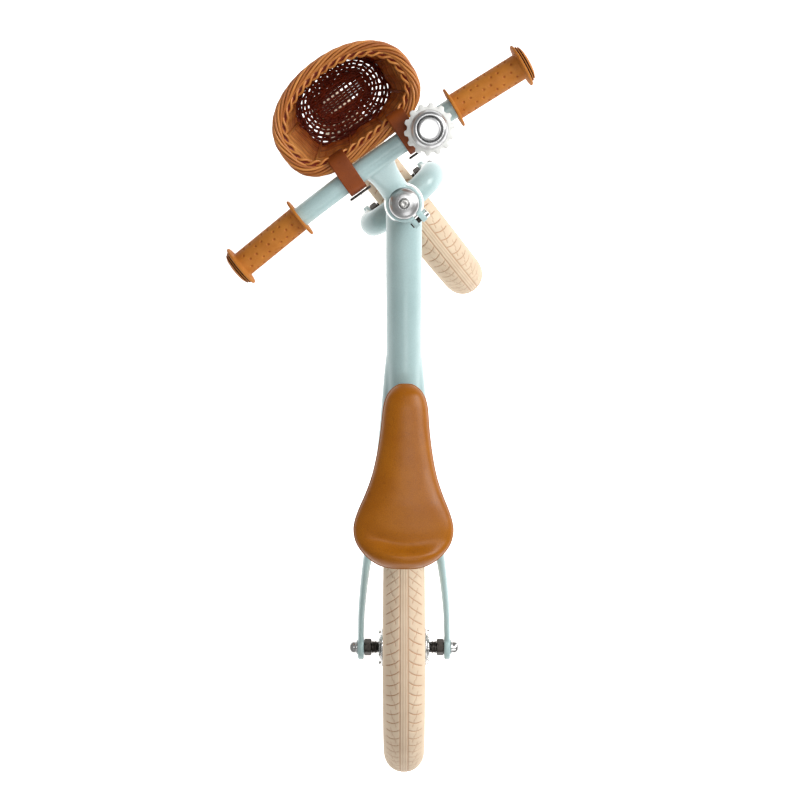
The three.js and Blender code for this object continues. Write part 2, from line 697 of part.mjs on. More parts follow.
function basketRim() {
  const path = basketLoop(1, -BASKET_WALL / 2);
  const middle = path.reduce((sum, p) => sum.add(p), new Vector3()).multiplyScalar(1 / path.length);
  const up = new Vector3(0, 0, 1);
  const loops = path.map((p) => {
    const out = p.clone().sub(middle).setZ(0).normalize();
    const centre = p.clone().addScaledVector(up, BASKET_RIM + GAP);
    return ovalLoop(centre, out, up, BASKET_RIM, BASKET_RIM, 8);
  });
  return loft(loops, true);
}

// A strap that goes round the bar and through the basket under its rim.
function strapShape(x) {
  const { width, thick } = STRAP;
  const rest = barPoint(x);
  const over = [[-13, 0], [-9.4, 9.4], [0, 13], [8, 13.6], [16, 12.9], [22.5, 10]];
  const under = [[25.8, 2], [26, -8], [20, -13.6], [7, -14.2], [-6, -12.6]];
  const shift = (y) => (y > 12 ? y + rimRetreat(x) : y);
  const points = [...over, ...under].map(([y, z]) => new Vector3(0, shift(y), z));
  const path = new THREE.CatmullRomCurve3(points, true);
  const band = (offset, side) => path.getSpacedPoints(28).slice(0, -1).map((p, i) => {
    const along = path.getTangentAt(i / 28);
    return p.add(new Vector3(side, along.z * offset, -along.y * offset));
  });
  const half = width / 2;
  const face = thick / 2;
  const strips = [band(face, -half), band(face, half), band(-face, half), band(-face, -half)];
  const sections = strips[0].map((_, i) => strips.map((strip) => strip[i]));
  return loft(sections, true).translate(x, rest.y, rest.z);
}

function buckleShape(x) {
  const rest = barPoint(x);
  const plate = box([-11, -17.4, -6], [11, -15.2, 5]).translate(x, rest.y, rest.z);
  const window = box([-8, -25, -3.4], [8, -10, 2.4]).translate(x, rest.y, rest.z);
  return cut(plate, window);
}

function buildBasket(bar) {
  add(bar, "basket_wall", basketWall(), wicker());
  add(bar, "basket_base", basketBase(), wicker());
  add(bar, "basket_rim", basketRim(), wicker());
  for (const [side, x] of [["right", STRAP.rightX], ["left", STRAP.leftX]]) {
    add(bar, side + "_strap", strapShape(x), strapLeather());
    add(bar, side + "_buckle", buckleShape(x), darkSteel());
  }
}

// ---- Assembly -----------------------------------------------------------------------------------
const bike = new THREE.Group();
bike.position.set(-MIDDLE.x, -MIDDLE.y, 0);

buildFrame(bike);

const saddle = new THREE.Group();
const seatUp = new Vector3(0, -Math.sin(SEAT_AXIS.lean), Math.cos(SEAT_AXIS.lean));
const seatPoint = new Vector3(0, SEAT_AXIS.y, SEAT_AXIS.z);
saddle.quaternion.setFromAxisAngle(seatUp, SADDLE_TURN);
saddle.position.copy(seatPoint).sub(seatPoint.clone().applyQuaternion(saddle.quaternion));
bike.add(saddle);
buildSaddle(saddle);
buildWheel(bike, "rear", [0, 0, WHEEL_RADIUS]);

const steering = new THREE.Group();
steering.position.set(...STEER_TOP);
steering.rotation.set(HEAD_LEAN, 0, FORK_TURN);
bike.add(steering);
addPair(steering, "fork_leg", forkLeg(), paint);
add(steering, "steerer", steerer(), steel());
add(steering, "headset_cover", headsetCover(), chrome());
add(steering, "top_cap", topCap(), chrome());
add(steering, "top_cap_bolt", topCapBolt(), steel());
buildWheel(steering, "front", [0, FORK_OFFSET, -AXLE_DROP]);

const bar = new THREE.Group();
bar.rotation.z = BAR_TRIM;
steering.add(bar);
buildStemAndBar(bar);
buildBell(bar);
buildBasket(bar);

export default bike;
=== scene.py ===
"""A child's balance bike, seen from straight above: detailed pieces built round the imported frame."""
import json
import math

import bpy
import numpy as np
from mathutils import Matrix, Vector


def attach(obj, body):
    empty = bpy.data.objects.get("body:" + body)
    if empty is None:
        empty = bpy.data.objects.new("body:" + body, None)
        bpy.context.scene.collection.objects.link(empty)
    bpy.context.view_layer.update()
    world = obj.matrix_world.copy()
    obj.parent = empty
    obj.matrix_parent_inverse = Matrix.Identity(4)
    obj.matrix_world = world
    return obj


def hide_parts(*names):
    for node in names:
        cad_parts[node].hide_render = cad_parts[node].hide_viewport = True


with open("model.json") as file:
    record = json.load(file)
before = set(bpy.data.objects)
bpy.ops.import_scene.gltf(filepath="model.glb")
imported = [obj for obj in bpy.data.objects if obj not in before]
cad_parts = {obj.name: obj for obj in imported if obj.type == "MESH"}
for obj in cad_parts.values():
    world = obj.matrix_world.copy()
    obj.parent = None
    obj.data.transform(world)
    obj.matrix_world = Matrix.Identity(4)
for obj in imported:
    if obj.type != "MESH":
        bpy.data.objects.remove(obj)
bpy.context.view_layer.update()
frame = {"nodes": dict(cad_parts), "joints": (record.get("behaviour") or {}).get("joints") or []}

# ---- Frames of reference: millimetres inside, metres outside ------------------------------------
MM = 0.001
JOINTS = {joint["name"]: joint for joint in frame["joints"]}
SEED = 7


def placed(origin, right, up):
    """The matrix of a local frame in millimetres: x along right, z along up, y forward."""
    up = Vector(up).normalized()
    forward = up.cross(Vector(right)).normalized()
    right = forward.cross(up)
    turn = Matrix((right, forward, up)).transposed().to_4x4()
    return Matrix.Translation(origin) @ turn @ Matrix.Scale(MM, 4)


X_AXIS = (1, 0, 0)
Z_AXIS = (0, 0, 1)
REAR_AXLE = Vector(JOINTS["rear_wheel_spin"]["pos_m"])
FRONT_AXLE = Vector(JOINTS["front_wheel_spin"]["pos_m"])
STEER_UP = Vector(JOINTS["steering_turn"]["axis"])
FORK_RIGHT = Vector(JOINTS["front_wheel_spin"]["axis"])
BAR_TRIM = math.radians(-4.3)

BIKE = placed((REAR_AXLE.x, REAR_AXLE.y, 0), X_AXIS, Z_AXIS)
STEERING = placed(JOINTS["steering_turn"]["pos_m"], FORK_RIGHT, STEER_UP)
BAR_FRAME = STEERING @ Matrix.Rotation(BAR_TRIM, 4, "Z")
WHEELS = {
    "rear": placed(REAR_AXLE, X_AXIS, Z_AXIS),
    "front": placed(FRONT_AXLE, FORK_RIGHT, STEER_UP),
}
WHEEL_BODY = {"rear": "rear_wheel", "front": "front_wheel"}
FORK_BODY = {"rear": "frame", "front": "steering"}
AXLE_IN_FORK = STEERING.inverted() @ FRONT_AXLE

# ---- Driving dimensions, millimetres ------------------------------------------------------------
WHEEL_RADIUS = 152.5
TYRE_RADIUS = 24.5
BEAD_RADIUS = 104
TREAD_BLOCKS = 76
RIM_INNER = 91.2
HUB_HALF = 28.6
DISH = (28.9, 33)
CONE = (33.3, 40)
LOCK_NUT = (40.3, 49.3)
LOCK_NUT_CORNER = 10.4
DROPOUT = (49.6, 57)
DROPOUT_RADIUS = {"rear": 15.4, "front": 12.7}
DOME_NUT = (57.3, 69)
NARROWER = {"rear": 0, "front": 10.5}
AXLE_RADIUS = 4.7
SPOKES_PER_SIDE = 8

HEAD_TUBE = {"outer": 19, "top": -52, "bottom": -140}
MAIN_RADIUS = 19
MAIN_PATH = [(482, 425), (440, 409), (384, 386), (300, 345), (205, 296)]
SEAT_AXIS = {"y": 205, "z": 298, "lean": math.radians(15)}
SEAT_FRAME = Matrix.Translation((0, SEAT_AXIS["y"], SEAT_AXIS["z"]))
SEAT_FRAME = SEAT_FRAME @ Matrix.Rotation(SEAT_AXIS["lean"], 4, "X")
SEAT_TUBE = {"outer": 16, "inner": 13.3, "top": 34, "bottom": -52}
SEAT_POST = {"radius": 12.7, "top": 73, "bottom": -48}
STAY = [
    (372, 379, 15, 16, 26),
    (322, 351, 21.6, 16, 26),
    (262, 319, 27.6, 16, 27),
    (205, 284, 34.5, 15, 27),
    (150, 247, 43.2, 12.5, 26),
    (95, 209, 51, 9.6, 25),
    (50, 178, 55.6, 8.2, 23),
    (14, 158, 57, 7.4, 22),
]
FORK_LEG = [
    (0, 0, -160, 14, 14),
    (18, 0, -160, 14, 14),
    (33, 1, -165, 14, 14),
    (42, 3, -183, 13.6, 14),
    (43.4, 4.5, -215, 11.6, 13.6),
    (43.8, 6.2, -275, 7.6, 12),
    (43, 9.6, -336, 3.8, 10.8),
    (42.8, 10.8, -357, 3.7, 10),
]
COLLAR = {"outer": 18.2, "inner": 13.2, "top": -3.6, "bottom": -34}
EAR = {"reach": 27, "thick": 5.6, "slit": 4.2, "height": 19, "turn": math.radians(8)}
EAR_TURN = Matrix.Rotation(EAR["turn"], 4, "Z")
BAR = {"y": 49, "z": 33, "radius": 10, "sweep": 6.7}
GRIP = {"inner": 89.4, "outer": 163.7, "radius": 12.7, "flange": 19.7, "end": 173}
BELL = {"x": 59, "y": 43, "foot": 43.3, "gear": 57, "teeth": 14, "tip": 24.2, "root": 21.3}
BASKET_TOP = {"x": 4.5, "y": 107, "z": 33, "half": 73, "front": 48.5, "back": 45.5}
BASKET_FOOT = {"x": 7, "y": 124, "z": -67, "half": 52, "front": 40, "back": 39.5}
BASKET_FLAT = 0.64
FLUTES = 18
STRAP = {"width": 18, "thick": 2.6, "left_x": -28.5, "right_x": 40.5}
SADDLE_FLOOR = 382
SADDLE_TURN = math.radians(-1)


# ---- Materials ----------------------------------------------------------------------------------
WHITE = (1, 1, 1, 1)


def linear(red, green, blue):
    """An sRGB colour given as 0 to 255, as the linear colour that nodes take."""
    def channel(v):
        v /= 255
        return v / 12.92 if v <= 0.04045 else ((v + 0.055) / 1.055) ** 2.4
    return (channel(red), channel(green), channel(blue), 1)


def dimmed(colour, share):
    return tuple(share * c for c in colour[:3]) + (1,)


class Finish:
    """A material with a Principled shader and short ways to add nodes before it."""

    def __init__(self, name, **sockets):
        self.material = bpy.data.materials.new(name)
        self.material.use_nodes = True
        self.nodes = self.material.node_tree.nodes
        self.shader = self.nodes["Principled BSDF"]
        for socket, value in sockets.items():
            self.shader.inputs[socket.replace("_", " ")].default_value = value

    def link(self, output, socket):
        self.material.node_tree.links.new(output, socket)

    def position(self, attribute=None, scale=(1, 1, 1)):
        """Where a pattern is read: object space in metres, or a stored vector, stretched by scale."""
        if attribute:
            source = self.nodes.new("ShaderNodeAttribute")
            source.attribute_name = attribute
            output = source.outputs["Vector"]
        else:
            output = self.nodes.new("ShaderNodeTexCoord").outputs["Object"]
        stretch = self.nodes.new("ShaderNodeMapping")
        stretch.inputs["Scale"].default_value = scale
        self.link(output, stretch.inputs["Vector"])
        return stretch.outputs["Vector"]

    def noise(self, where, scale, detail=3, roughness=0.55):
        node = self.nodes.new("ShaderNodeTexNoise")
        node.inputs["Scale"].default_value = scale
        node.inputs["Detail"].default_value = detail
        node.inputs["Roughness"].default_value = roughness
        self.link(where, node.inputs["Vector"])
        return node.outputs["Fac"]

    def cells(self, where, scale):
        """Distance to the nearest edge of a cell."""
        node = self.nodes.new("ShaderNodeTexVoronoi")
        node.feature = "DISTANCE_TO_EDGE"
        node.inputs["Scale"].default_value = scale
        self.link(where, node.inputs["Vector"])
        return node.outputs["Distance"]

    def ramp(self, value, *stops):
        """Colours or greys at places from 0 to 1."""
        node = self.nodes.new("ShaderNodeValToRGB")
        elements = node.color_ramp.elements
        while len(elements) < len(stops):
            elements.new(0.5)
        for element, (place, colour) in zip(elements, stops):
            element.position = place
            element.color = colour if hasattr(colour, "__len__") else (colour, colour, colour, 1)
        self.link(value, node.inputs["Fac"])
        return node.outputs["Color"]

    def cloud(self, where, scale, detail, *stops):
        """Colours or greys that follow noise."""
        return self.ramp(self.noise(where, scale, detail), *stops)

    def mix(self, share, first, second, blend="MIX"):
        node = self.nodes.new("ShaderNodeMix")
        node.data_type = "RGBA"
        node.blend_type = blend
        for socket, value in ((node.inputs[0], share), (node.inputs[6], first), (node.inputs[7], second)):
            if isinstance(value, bpy.types.NodeSocket):
                self.link(value, socket)
            else:
                socket.default_value = value
        return node.outputs[2]

    def stored(self, name):
        node = self.nodes.new("ShaderNodeAttribute")
        node.attribute_name = name
        return node.outputs["Fac"]

    def height(self):
        """Height in metres above the floor, at rest."""
        node = self.nodes.new("ShaderNodeSeparateXYZ")
        self.link(self.nodes.new("ShaderNodeTexCoord").outputs["Object"], node.inputs[0])
        return node.outputs["Z"]

    def span(self, value, low, high):
        node = self.nodes.new("ShaderNodeMapRange")
        node.inputs["From Min"].default_value = low
        node.inputs["From Max"].default_value = high
        self.link(value, node.inputs["Value"])
        return node.outputs["Result"]

    def colour(self, output):
        self.link(output, self.shader.inputs["Base Color"])

    def roughness(self, output):
        self.link(output, self.shader.inputs["Roughness"])

    def bump(self, *layers):
        """Layers of (height output, depth in millimetres)."""
        normal = None
        for output, depth in layers:
            node = self.nodes.new("ShaderNodeBump")
            node.inputs["Distance"].default_value = depth * MM
            self.link(output, node.inputs["Height"])
            if normal:
                self.link(normal, node.inputs["Normal"])
            normal = node.outputs["Normal"]
        self.link(normal, self.shader.inputs["Normal"])


def paint_finish():
    made = Finish("frame_paint", Coat_Weight=0.35, Coat_Roughness=0.12, Metallic=0.0, IOR=1.5)
    where = made.position()
    base = made.cloud(where, 14, 4, (0.3, linear(168, 195, 195)), (0.7, linear(180, 206, 206)))
    fleck = made.cloud(where, 900, 2, (0.35, 0.92), (0.6, 1.0))
    made.colour(made.mix(1.0, base, fleck, "MULTIPLY"))
    made.roughness(made.cloud(where, 60, 4, (0.3, 0.3), (0.75, 0.42)))
    made.bump((made.noise(where, 420, 2), 0.05), (made.noise(where, 2600, 1), 0.012))
    return made.material


def metal_finish(name, colour, low, high, streak=(1, 1, 1)):
    made = Finish(name, Metallic=1.0)
    where = made.position(scale=streak)
    made.colour(made.cloud(where, 45, 4, (0.3, colour), (0.8, dimmed(colour, 0.86))))
    made.roughness(made.cloud(where, 300, 4, (0.25, low), (0.8, high)))
    made.bump((made.noise(where, 1500, 2), 0.008))
    return made.material


def tyre_finish():
    made = Finish("tyre", IOR=1.5)
    where = made.position("grain")
    base = made.cloud(where, 0.035, 4, (0.3, linear(214, 190, 162)), (0.75, linear(226, 205, 178)))
    groove = made.stored("groove")
    # Painted shade: the tread's grooves are darkened, as the shade that falls in them.
    groove_shade = made.ramp(groove, (0.1, WHITE), (0.9, linear(214, 174, 150)))
    made.colour(made.mix(1.0, base, groove_shade, "MULTIPLY"))
    made.roughness(made.cloud(where, 0.3, 3, (0.3, 0.7), (0.7, 0.85)))
    made.bump((made.noise(where, 1.4, 3), 0.08), (made.noise(where, 6, 2), 0.02))
    return made.material


def grip_finish():
    made = Finish("grip", IOR=1.5, Specular_IOR_Level=0.35)
    where = made.position("grain")
    base = made.cloud(where, 0.08, 4, (0.3, linear(174, 102, 24)), (0.75, linear(194, 122, 42)))
    # Painted shade: the dimples a little darker and the end plug's slots dark, as shade in these recesses.
    pit = made.ramp(made.stored("groove"), (0.1, WHITE), (0.8, linear(225, 200, 180)),
                    (1.0, linear(84, 20, 8)))
    made.colour(made.mix(1.0, base, pit, "MULTIPLY"))
    made.roughness(made.cloud(where, 0.9, 3, (0.3, 0.55), (0.7, 0.72)))
    made.bump((made.noise(where, 2.2, 3), 0.07))
    return made.material


def leather_finish(name, dark, light, cell, depth, low, high):
    """Grained leather: rounded cells with fine creases between them, and slow changes of tone."""
    made = Finish(name, IOR=1.5, Specular_IOR_Level=0.3)
    where = made.position()
    tone = made.cloud(where, 26, 5, (0.3, dark), (0.75, light))
    crease = made.cells(where, cell)
    shade = made.ramp(crease, (0.0, 0.8), (0.12, 1.0))
    made.colour(made.mix(1.0, tone, shade, "MULTIPLY"))
    made.roughness(made.cloud(where, 90, 4, (0.3, low), (0.75, high)))
    made.bump((made.ramp(crease, (0.0, 0.0), (0.2, 1.0)), depth), (made.noise(where, 600, 3), depth * 0.4))
    return made.material


def wicker_finish(name, dark, light, foot_shade, gloss):
    """Varnished willow: streaks along each strand, a tone for each, and painted shade that darkens it
    towards the basket's foot.
    """
    made = Finish(name, IOR=1.5, Coat_Weight=gloss, Coat_Roughness=0.22, Specular_IOR_Level=0.3)
    along = made.position("grain", (0.02, 0.5, 0.5))
    streaks = made.noise(along, 3, 5, 0.65)
    wood = made.ramp(streaks, (0.28, dark), (0.72, light))
    tint = made.ramp(made.stored("tint"), (0.0, linear(205, 180, 160)), (1.0, linear(255, 252, 245)))
    toned = made.mix(1.0, wood, tint, "MULTIPLY")
    # Painted shade: the colour darkens towards the basket's foot, where shade falls inside it.
    low, high = (BAR_FRAME @ Vector((0, 110, z)) for z in (BASKET_FOOT["z"], 20))
    rise = made.span(made.height(), low.z, high.z)
    foot = made.ramp(rise, (0.0, foot_shade), (0.9, WHITE))
    made.colour(made.mix(1.0, toned, foot, "MULTIPLY"))
    made.roughness(made.ramp(streaks, (0.3, 0.42), (0.7, 0.6)))
    made.bump((made.noise(along, 9, 3), 0.18))
    return made.material


def plastic_finish(name, colour, low, high):
    made = Finish(name, IOR=1.46)
    where = made.position()
    made.colour(made.cloud(where, 60, 3, (0.3, dimmed(colour, 0.9)), (0.7, colour)))
    made.roughness(made.cloud(where, 240, 3, (0.3, low), (0.7, high)))
    made.bump((made.noise(where, 1400, 2), 0.02))
    return made.material


FINISHES = {
    "frame_paint": paint_finish(),
    "chrome": metal_finish("chrome", (0.72, 0.72, 0.71, 1), 0.12, 0.22),
    "steel": metal_finish("steel", (0.6, 0.59, 0.57, 1), 0.28, 0.42),
    "dark_steel": metal_finish("dark_steel", (0.055, 0.05, 0.045, 1), 0.26, 0.42),
    "tyre": tyre_finish(),
    "grip": grip_finish(),
    "saddle_cover": leather_finish(
        "saddle_cover", linear(156, 88, 2), linear(174, 104, 12), 520, 0.03, 0.3, 0.4),
    "strap": leather_finish(
        "strap", linear(112, 48, 6), linear(156, 76, 18), 700, 0.08, 0.45, 0.62),
    "black_plastic": plastic_finish("black_plastic", (0.012, 0.012, 0.012, 1), 0.45, 0.6),
    "white_plastic": plastic_finish("white_plastic", linear(238, 238, 234), 0.28, 0.4),
    "wicker": wicker_finish(
        "wicker", linear(220, 142, 54), linear(254, 206, 128), linear(214, 150, 98), 0.0),
}
RIM_WICKER = wicker_finish("wicker_rim", linear(176, 92, 28), linear(234, 166, 88), WHITE, 0.4)
# Painted shade: a darker copy of the wicker, for the basket's floor and for the core seen through the rim's
# gaps.
SHADED_WICKER = wicker_finish(
    "wicker_painted_shade", linear(112, 32, 4), linear(164, 64, 14), linear(235, 225, 225), 0.0)
BRUSHED = metal_finish("brushed_chrome", (0.6, 0.6, 0.6, 1), 0.28, 0.38, (1, 6, 1))


# ---- Mesh helpers -------------------------------------------------------------------------------
TIP = 0.02  # radius left where a turned shape closes on its axis
SAMPLE = 4000  # faces that are enough to tell which way a skin faces


def circle(count):
    """Evenly spaced angles, once round from 0."""
    return np.linspace(0, 2 * np.pi, count, endpoint=False)


def xyz(x, y, z):
    """Points from three coordinates whose shapes broadcast."""
    return np.stack(np.broadcast_arrays(x, y, z), axis=-1)


def unit(vectors):
    return vectors / np.linalg.norm(vectors, axis=-1, keepdims=True)


def moved(loops, matrix):
    """Loops carried by a 4x4 matrix."""
    turn = np.array(matrix, float)
    return loops @ turn[:3, :3].T + turn[:3, 3]


def mirrored(matrix):
    return matrix @ Matrix.Scale(-1, 4, X_AXIS)


def grid_faces(rows, columns, closed):
    """Quads over loops of points numbered row by row; a closed grid joins its last row to its first."""
    i = np.arange(rows if closed else rows - 1)[:, None]
    j = np.arange(columns)[None, :]
    k, n = (i + 1) % rows, (j + 1) % columns
    quads = np.stack([i * columns + j, i * columns + n, k * columns + n, k * columns + j], axis=-1)
    return quads.reshape(-1, 4).tolist()


def signed_volume(points, faces):
    total = 0.0
    for face in faces:
        a = points[face[0]]
        for b, c in zip(face[1:-1], face[2:]):
            total += np.dot(a, np.cross(points[b], points[c]))
    return total


def linked(name, data):
    """A new object that holds the data, in the scene."""
    obj = bpy.data.objects.new(name, data)
    bpy.context.scene.collection.objects.link(obj)
    return obj


def finish_shading(mesh, smooth):
    mesh.polygons.foreach_set("use_smooth", np.ones(len(mesh.polygons), bool))
    mesh.set_sharp_from_angle(angle=math.radians(smooth))
    mesh.update()


class Shape:
    """Points in millimetres and faces, gathered from one or more skins."""

    def __init__(self):
        self.points, self.faces, self.values = [], [], {}
        self.count = 0

    def skin(self, grid, closed=False, **values):
        """A skin over loops of points, one to a row, facing out; its two ends are capped or joined."""
        grid = np.asarray(grid, float)
        rows, columns = grid.shape[:2]
        points = grid.reshape(-1, 3)
        faces = grid_faces(rows, columns, closed)
        if not closed:
            faces.append(list(range(columns))[::-1])
            faces.append([(rows - 1) * columns + j for j in range(columns)])
        if signed_volume(points - points.mean(0), faces[:: max(1, len(faces) // SAMPLE)]) < 0:
            faces = [face[::-1] for face in faces]
        self.faces += [[v + self.count for v in face] for face in faces]
        self.points.append(points)
        self.count += len(points)
        for name, value in values.items():
            width = 3 if name == "grain" else 1
            value = np.broadcast_to(np.reshape(value, (-1, width)), (len(points), width))
            self.values.setdefault(name, []).append(value)
        return self

    def piece(self, name, matrix, material, smooth=35):
        """The shape as one object in metres, smooth except over edges sharper than an angle."""
        mesh = bpy.data.meshes.new(name)
        mesh.from_pydata(moved(np.concatenate(self.points), matrix).tolist(), [], self.faces)
        if matrix.determinant() < 0:
            mesh.flip_normals()
        for stored, parts in self.values.items():
            data = np.concatenate(parts).astype(np.float32)
            kind, field = ("FLOAT_VECTOR", "vector") if data.shape[1] == 3 else ("FLOAT", "value")
            attribute = mesh.attributes.new(stored, kind, "POINT")
            attribute.data.foreach_set(field, data.ravel())
        mesh.materials.append(material)
        finish_shading(mesh, smooth)
        return linked(name, mesh)


def settle(piece, body, slot, *nodes):
    """Rides the piece on its body and hides the plain solids that it stands for."""
    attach(piece, body)
    if nodes:
        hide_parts(*nodes)
    return piece


def add(shape, name, matrix, slot, body, *nodes, material=None, smooth=35):
    """The shape as a piece of a body, in its slot's finish unless another is given."""
    return settle(shape.piece(name, matrix, material or FINISHES[slot], smooth), body, slot, *nodes)


def rounded(profile, radius, steps=3, closed=False):
    """A profile whose corners are replaced by short arcs."""
    points = [np.array(p, float) for p in profile]
    corners = range(len(points)) if closed else range(1, len(points) - 1)
    made = [] if closed else [points[0]]
    for i in corners:
        here, before, after = points[i], points[i - 1], points[(i + 1) % len(points)]
        back, on = before - here, after - here
        reach = min(radius, 0.45 * np.linalg.norm(back), 0.45 * np.linalg.norm(on))
        start = here + back / np.linalg.norm(back) * reach
        end = here + on / np.linalg.norm(on) * reach
        for t in np.linspace(0, 1, steps + 1):
            made.append((1 - t) ** 2 * start + 2 * t * (1 - t) * here + t ** 2 * end)
    return np.array(made if closed else made + [points[-1]])


def densified(loop, step):
    """A closed loop with extra points where its sides are long."""
    made = []
    for here, after in zip(loop, np.roll(loop, -1, axis=0)):
        count = max(1, int(np.linalg.norm(after - here) / step))
        made += [here + (after - here) * k / count for k in range(count)]
    return made


def raised(base, *pairs):
    """A profile whose heights are measured from a base."""
    return [(r, base + h) for r, h in pairs]


def rings(rows, angle):
    """Loops about z from rows of (radius, height); a radius may change round its loop."""
    return np.array([xyz(r * np.cos(angle), r * np.sin(angle), h) for r, h in rows])


def turned(profile, axis="z", sides=64, closed=False, edge=0.4):
    """Loops of a profile of (radius, height) pairs turned about an axis, its corners rounded."""
    outline = rounded(profile, edge, closed=closed) if edge else np.array(profile, float)
    loops = rings([(max(r, TIP), h) for r, h in outline], circle(sides))
    return loops[..., [2, 0, 1]] if axis == "x" else loops


def lathe(profile, axis="z", sides=64, edge=0.4, closed=False):
    """A turned shape: solid, or round a bore where the profile is closed."""
    return Shape().skin(turned(profile, axis, sides, closed, edge), closed)


def rod(radius, low, high, axis="z", sides=64, edge=0.4):
    """Loops of a cylinder."""
    return turned([(0, low), (radius, low), (radius, high), (0, high)], axis, sides, edge=edge)


def block(low, high):
    """A box as two loops."""
    (x, y, z), (u, v, w) = low, high
    return np.array([[(x, y, h), (u, y, h), (u, v, h), (x, v, h)] for h in (z, w)])


def hexagon(angle, corner):
    """The radius of a hexagon in each direction, from its radius at a corner."""
    return corner * math.cos(math.pi / 6) / np.cos(angle % (np.pi / 3) - np.pi / 6)


def hex_nut(corner, low, high, bore, chamfer=1.0):
    """Loops of a nut along x, with turned chamfers at both ends."""
    angle = circle(72)
    edge = corner - 1.7 * chamfer
    rows = [(bore, low), (edge, low)]
    for share in (0.5, 1.0):
        outline = np.minimum(hexagon(angle, corner), edge + (corner - edge) * share)
        rows.append((outline, low + chamfer * share))
    rows += [(r, low + high - h) for r, h in rows[::-1]]
    return rings(rows, angle)[..., [2, 0, 1]]


def socket_head(radius, height, socket, depth):
    """Loops of a screw head along z: rounded outside, a hexagon socket in its top, its foot at 0."""
    angle = circle(48)
    inside = hexagon(angle, socket)
    rows = raised(height, (radius, -0.9), (radius - 0.25, -0.35), (radius - 0.9, 0), (inside + 0.35, 0),
                  (inside, -0.35), (inside, -depth), (TIP, -depth - 0.5))
    return rings([(TIP, 0), (radius, 0), *rows], angle)


def travelled(path):
    """Distance along a path at each of its points."""
    return np.concatenate([[0], np.cumsum(np.linalg.norm(np.diff(path, axis=0), axis=1))])


def even(path, count, closed=False):
    """The same line with its points evenly spaced."""
    if closed and not np.allclose(path[0], path[-1]):
        path = np.concatenate([path, path[:1]])
    along = travelled(path)
    places = np.linspace(0, along[-1], count, endpoint=not closed)
    return np.stack([np.interp(places, along, column) for column in path.T], axis=-1)


def smooth_path(points, count, closed=False):
    """A Catmull-Rom curve through the points, evenly spaced along its length."""
    points = np.array(points, float)
    before, after = points[-1:], points[:2]
    if not closed:
        before, after = 2 * points[:1] - points[1:2], 2 * points[-1:] - points[-2:-1]
    around = np.concatenate([before, points, after])
    spans = len(around) - 3
    t = np.linspace(0, 1, 24, endpoint=False)[:, None]
    dense = []
    for i in range(spans):
        a, b, c, d = around[i:i + 4]
        dense.append(0.5 * (2 * b + (c - a) * t + (2 * a - 5 * b + 4 * c - d) * t ** 2
                            + (3 * b - a - 3 * c + d) * t ** 3))
    dense.append(around[spans + 1:spans + 2])
    return even(np.concatenate(dense), count, closed)


def directions(path, closed=False):
    if closed:
        return unit(np.roll(path, -1, axis=0) - np.roll(path, 1, axis=0))
    return unit(np.gradient(path, axis=0))


def tube(path, across, up=None, sides=12, closed=False, side=Z_AXIS, power=1.0):
    """Loops round a path: half sizes across it and up, where up is nearest to the side vector."""
    path = np.asarray(path, float)
    along = directions(path, closed)
    left = unit(np.cross(along, np.broadcast_to(np.array(side, float), along.shape)))
    top = np.cross(left, along)
    angle = circle(sides)
    c, s = np.cos(angle)[:, None], np.sin(angle)[:, None]
    c, s = np.sign(c) * np.abs(c) ** power, np.sign(s) * np.abs(s) ** power
    across = np.asarray(across, float).reshape(-1, 1, 1)
    up = across if up is None else np.asarray(up, float).reshape(-1, 1, 1)
    return path[:, None] + across * c * left[:, None] + up * s * top[:, None]


def limb(table, count, sides, side=Z_AXIS, share=1.0, power=1.0):
    """A tube along rows of (x, y, z, width, height), whose half sizes are a share of each."""
    fine = smooth_path(table, count)
    return tube(fine[:, :3], fine[:, 3] * share, fine[:, 4] * share, sides, side=side, power=power)


def add_strand(shape, path, radius, rng, sides=7, closed=False, side=Z_AXIS):
    """A round strand with grain coordinates along and round it, and its own tone."""
    along = (travelled(path) + 400 * rng.random())[:, None]
    angle = circle(sides)
    grain = xyz(along, radius * np.cos(angle) + 30 * rng.random(), radius * np.sin(angle))
    loops = tube(path, radius, sides=sides, closed=closed, side=side)
    shape.skin(loops, closed, grain=grain, tint=rng.random())


def applied(obj):
    """Replaces an object's mesh by what its modifiers make of it."""
    evaluated = obj.evaluated_get(bpy.context.evaluated_depsgraph_get())
    mesh = bpy.data.meshes.new_from_object(evaluated)
    obj.modifiers.clear()
    old = obj.data
    obj.data = mesh
    mesh.name = obj.name
    bpy.data.meshes.remove(old)


def fuse(obj, voxel):
    """Melts overlapping closed skins into one, with cells of so many millimetres."""
    remesh = obj.modifiers.new("fuse", "REMESH")
    remesh.mode = "VOXEL"
    remesh.voxel_size = voxel * MM
    applied(obj)


def relax(obj, matrix, rounds, welds):
    """Evens out a mesh: everywhere a little and back, and more near welds of (x, y, z, reach)."""
    mesh = obj.data
    points = np.zeros(len(mesh.vertices) * 3, np.float32)
    mesh.vertices.foreach_get("co", points)
    points = points.reshape(-1, 3).astype(float)
    edges = np.zeros(len(mesh.edges) * 2, np.int32)
    mesh.edges.foreach_get("vertices", edges)
    a, b = edges.reshape(-1, 2).T
    count = len(points)
    degree = np.bincount(np.concatenate([a, b]), minlength=count)[:, None]

    def drift(values):
        total = [np.bincount(a, column[b], count) + np.bincount(b, column[a], count)
                 for column in values.T]
        return np.stack(total, axis=-1) / np.maximum(degree, 1) - values

    weight = np.zeros((count, 1))
    for *place, reach in welds:
        distance = np.linalg.norm(points - np.array(matrix @ Vector(place)), axis=1)[:, None]
        weight = np.maximum(weight, np.clip(1.2 - distance / (reach * MM), 0, 1))
    for _ in range(rounds):
        points = points + 0.6 * weight * drift(points)
    for _ in range(8):
        points = points + 0.5 * drift(points)
        points = points - 0.52 * drift(points)
    mesh.vertices.foreach_set("co", points.astype(np.float32).ravel())
    mesh.update()


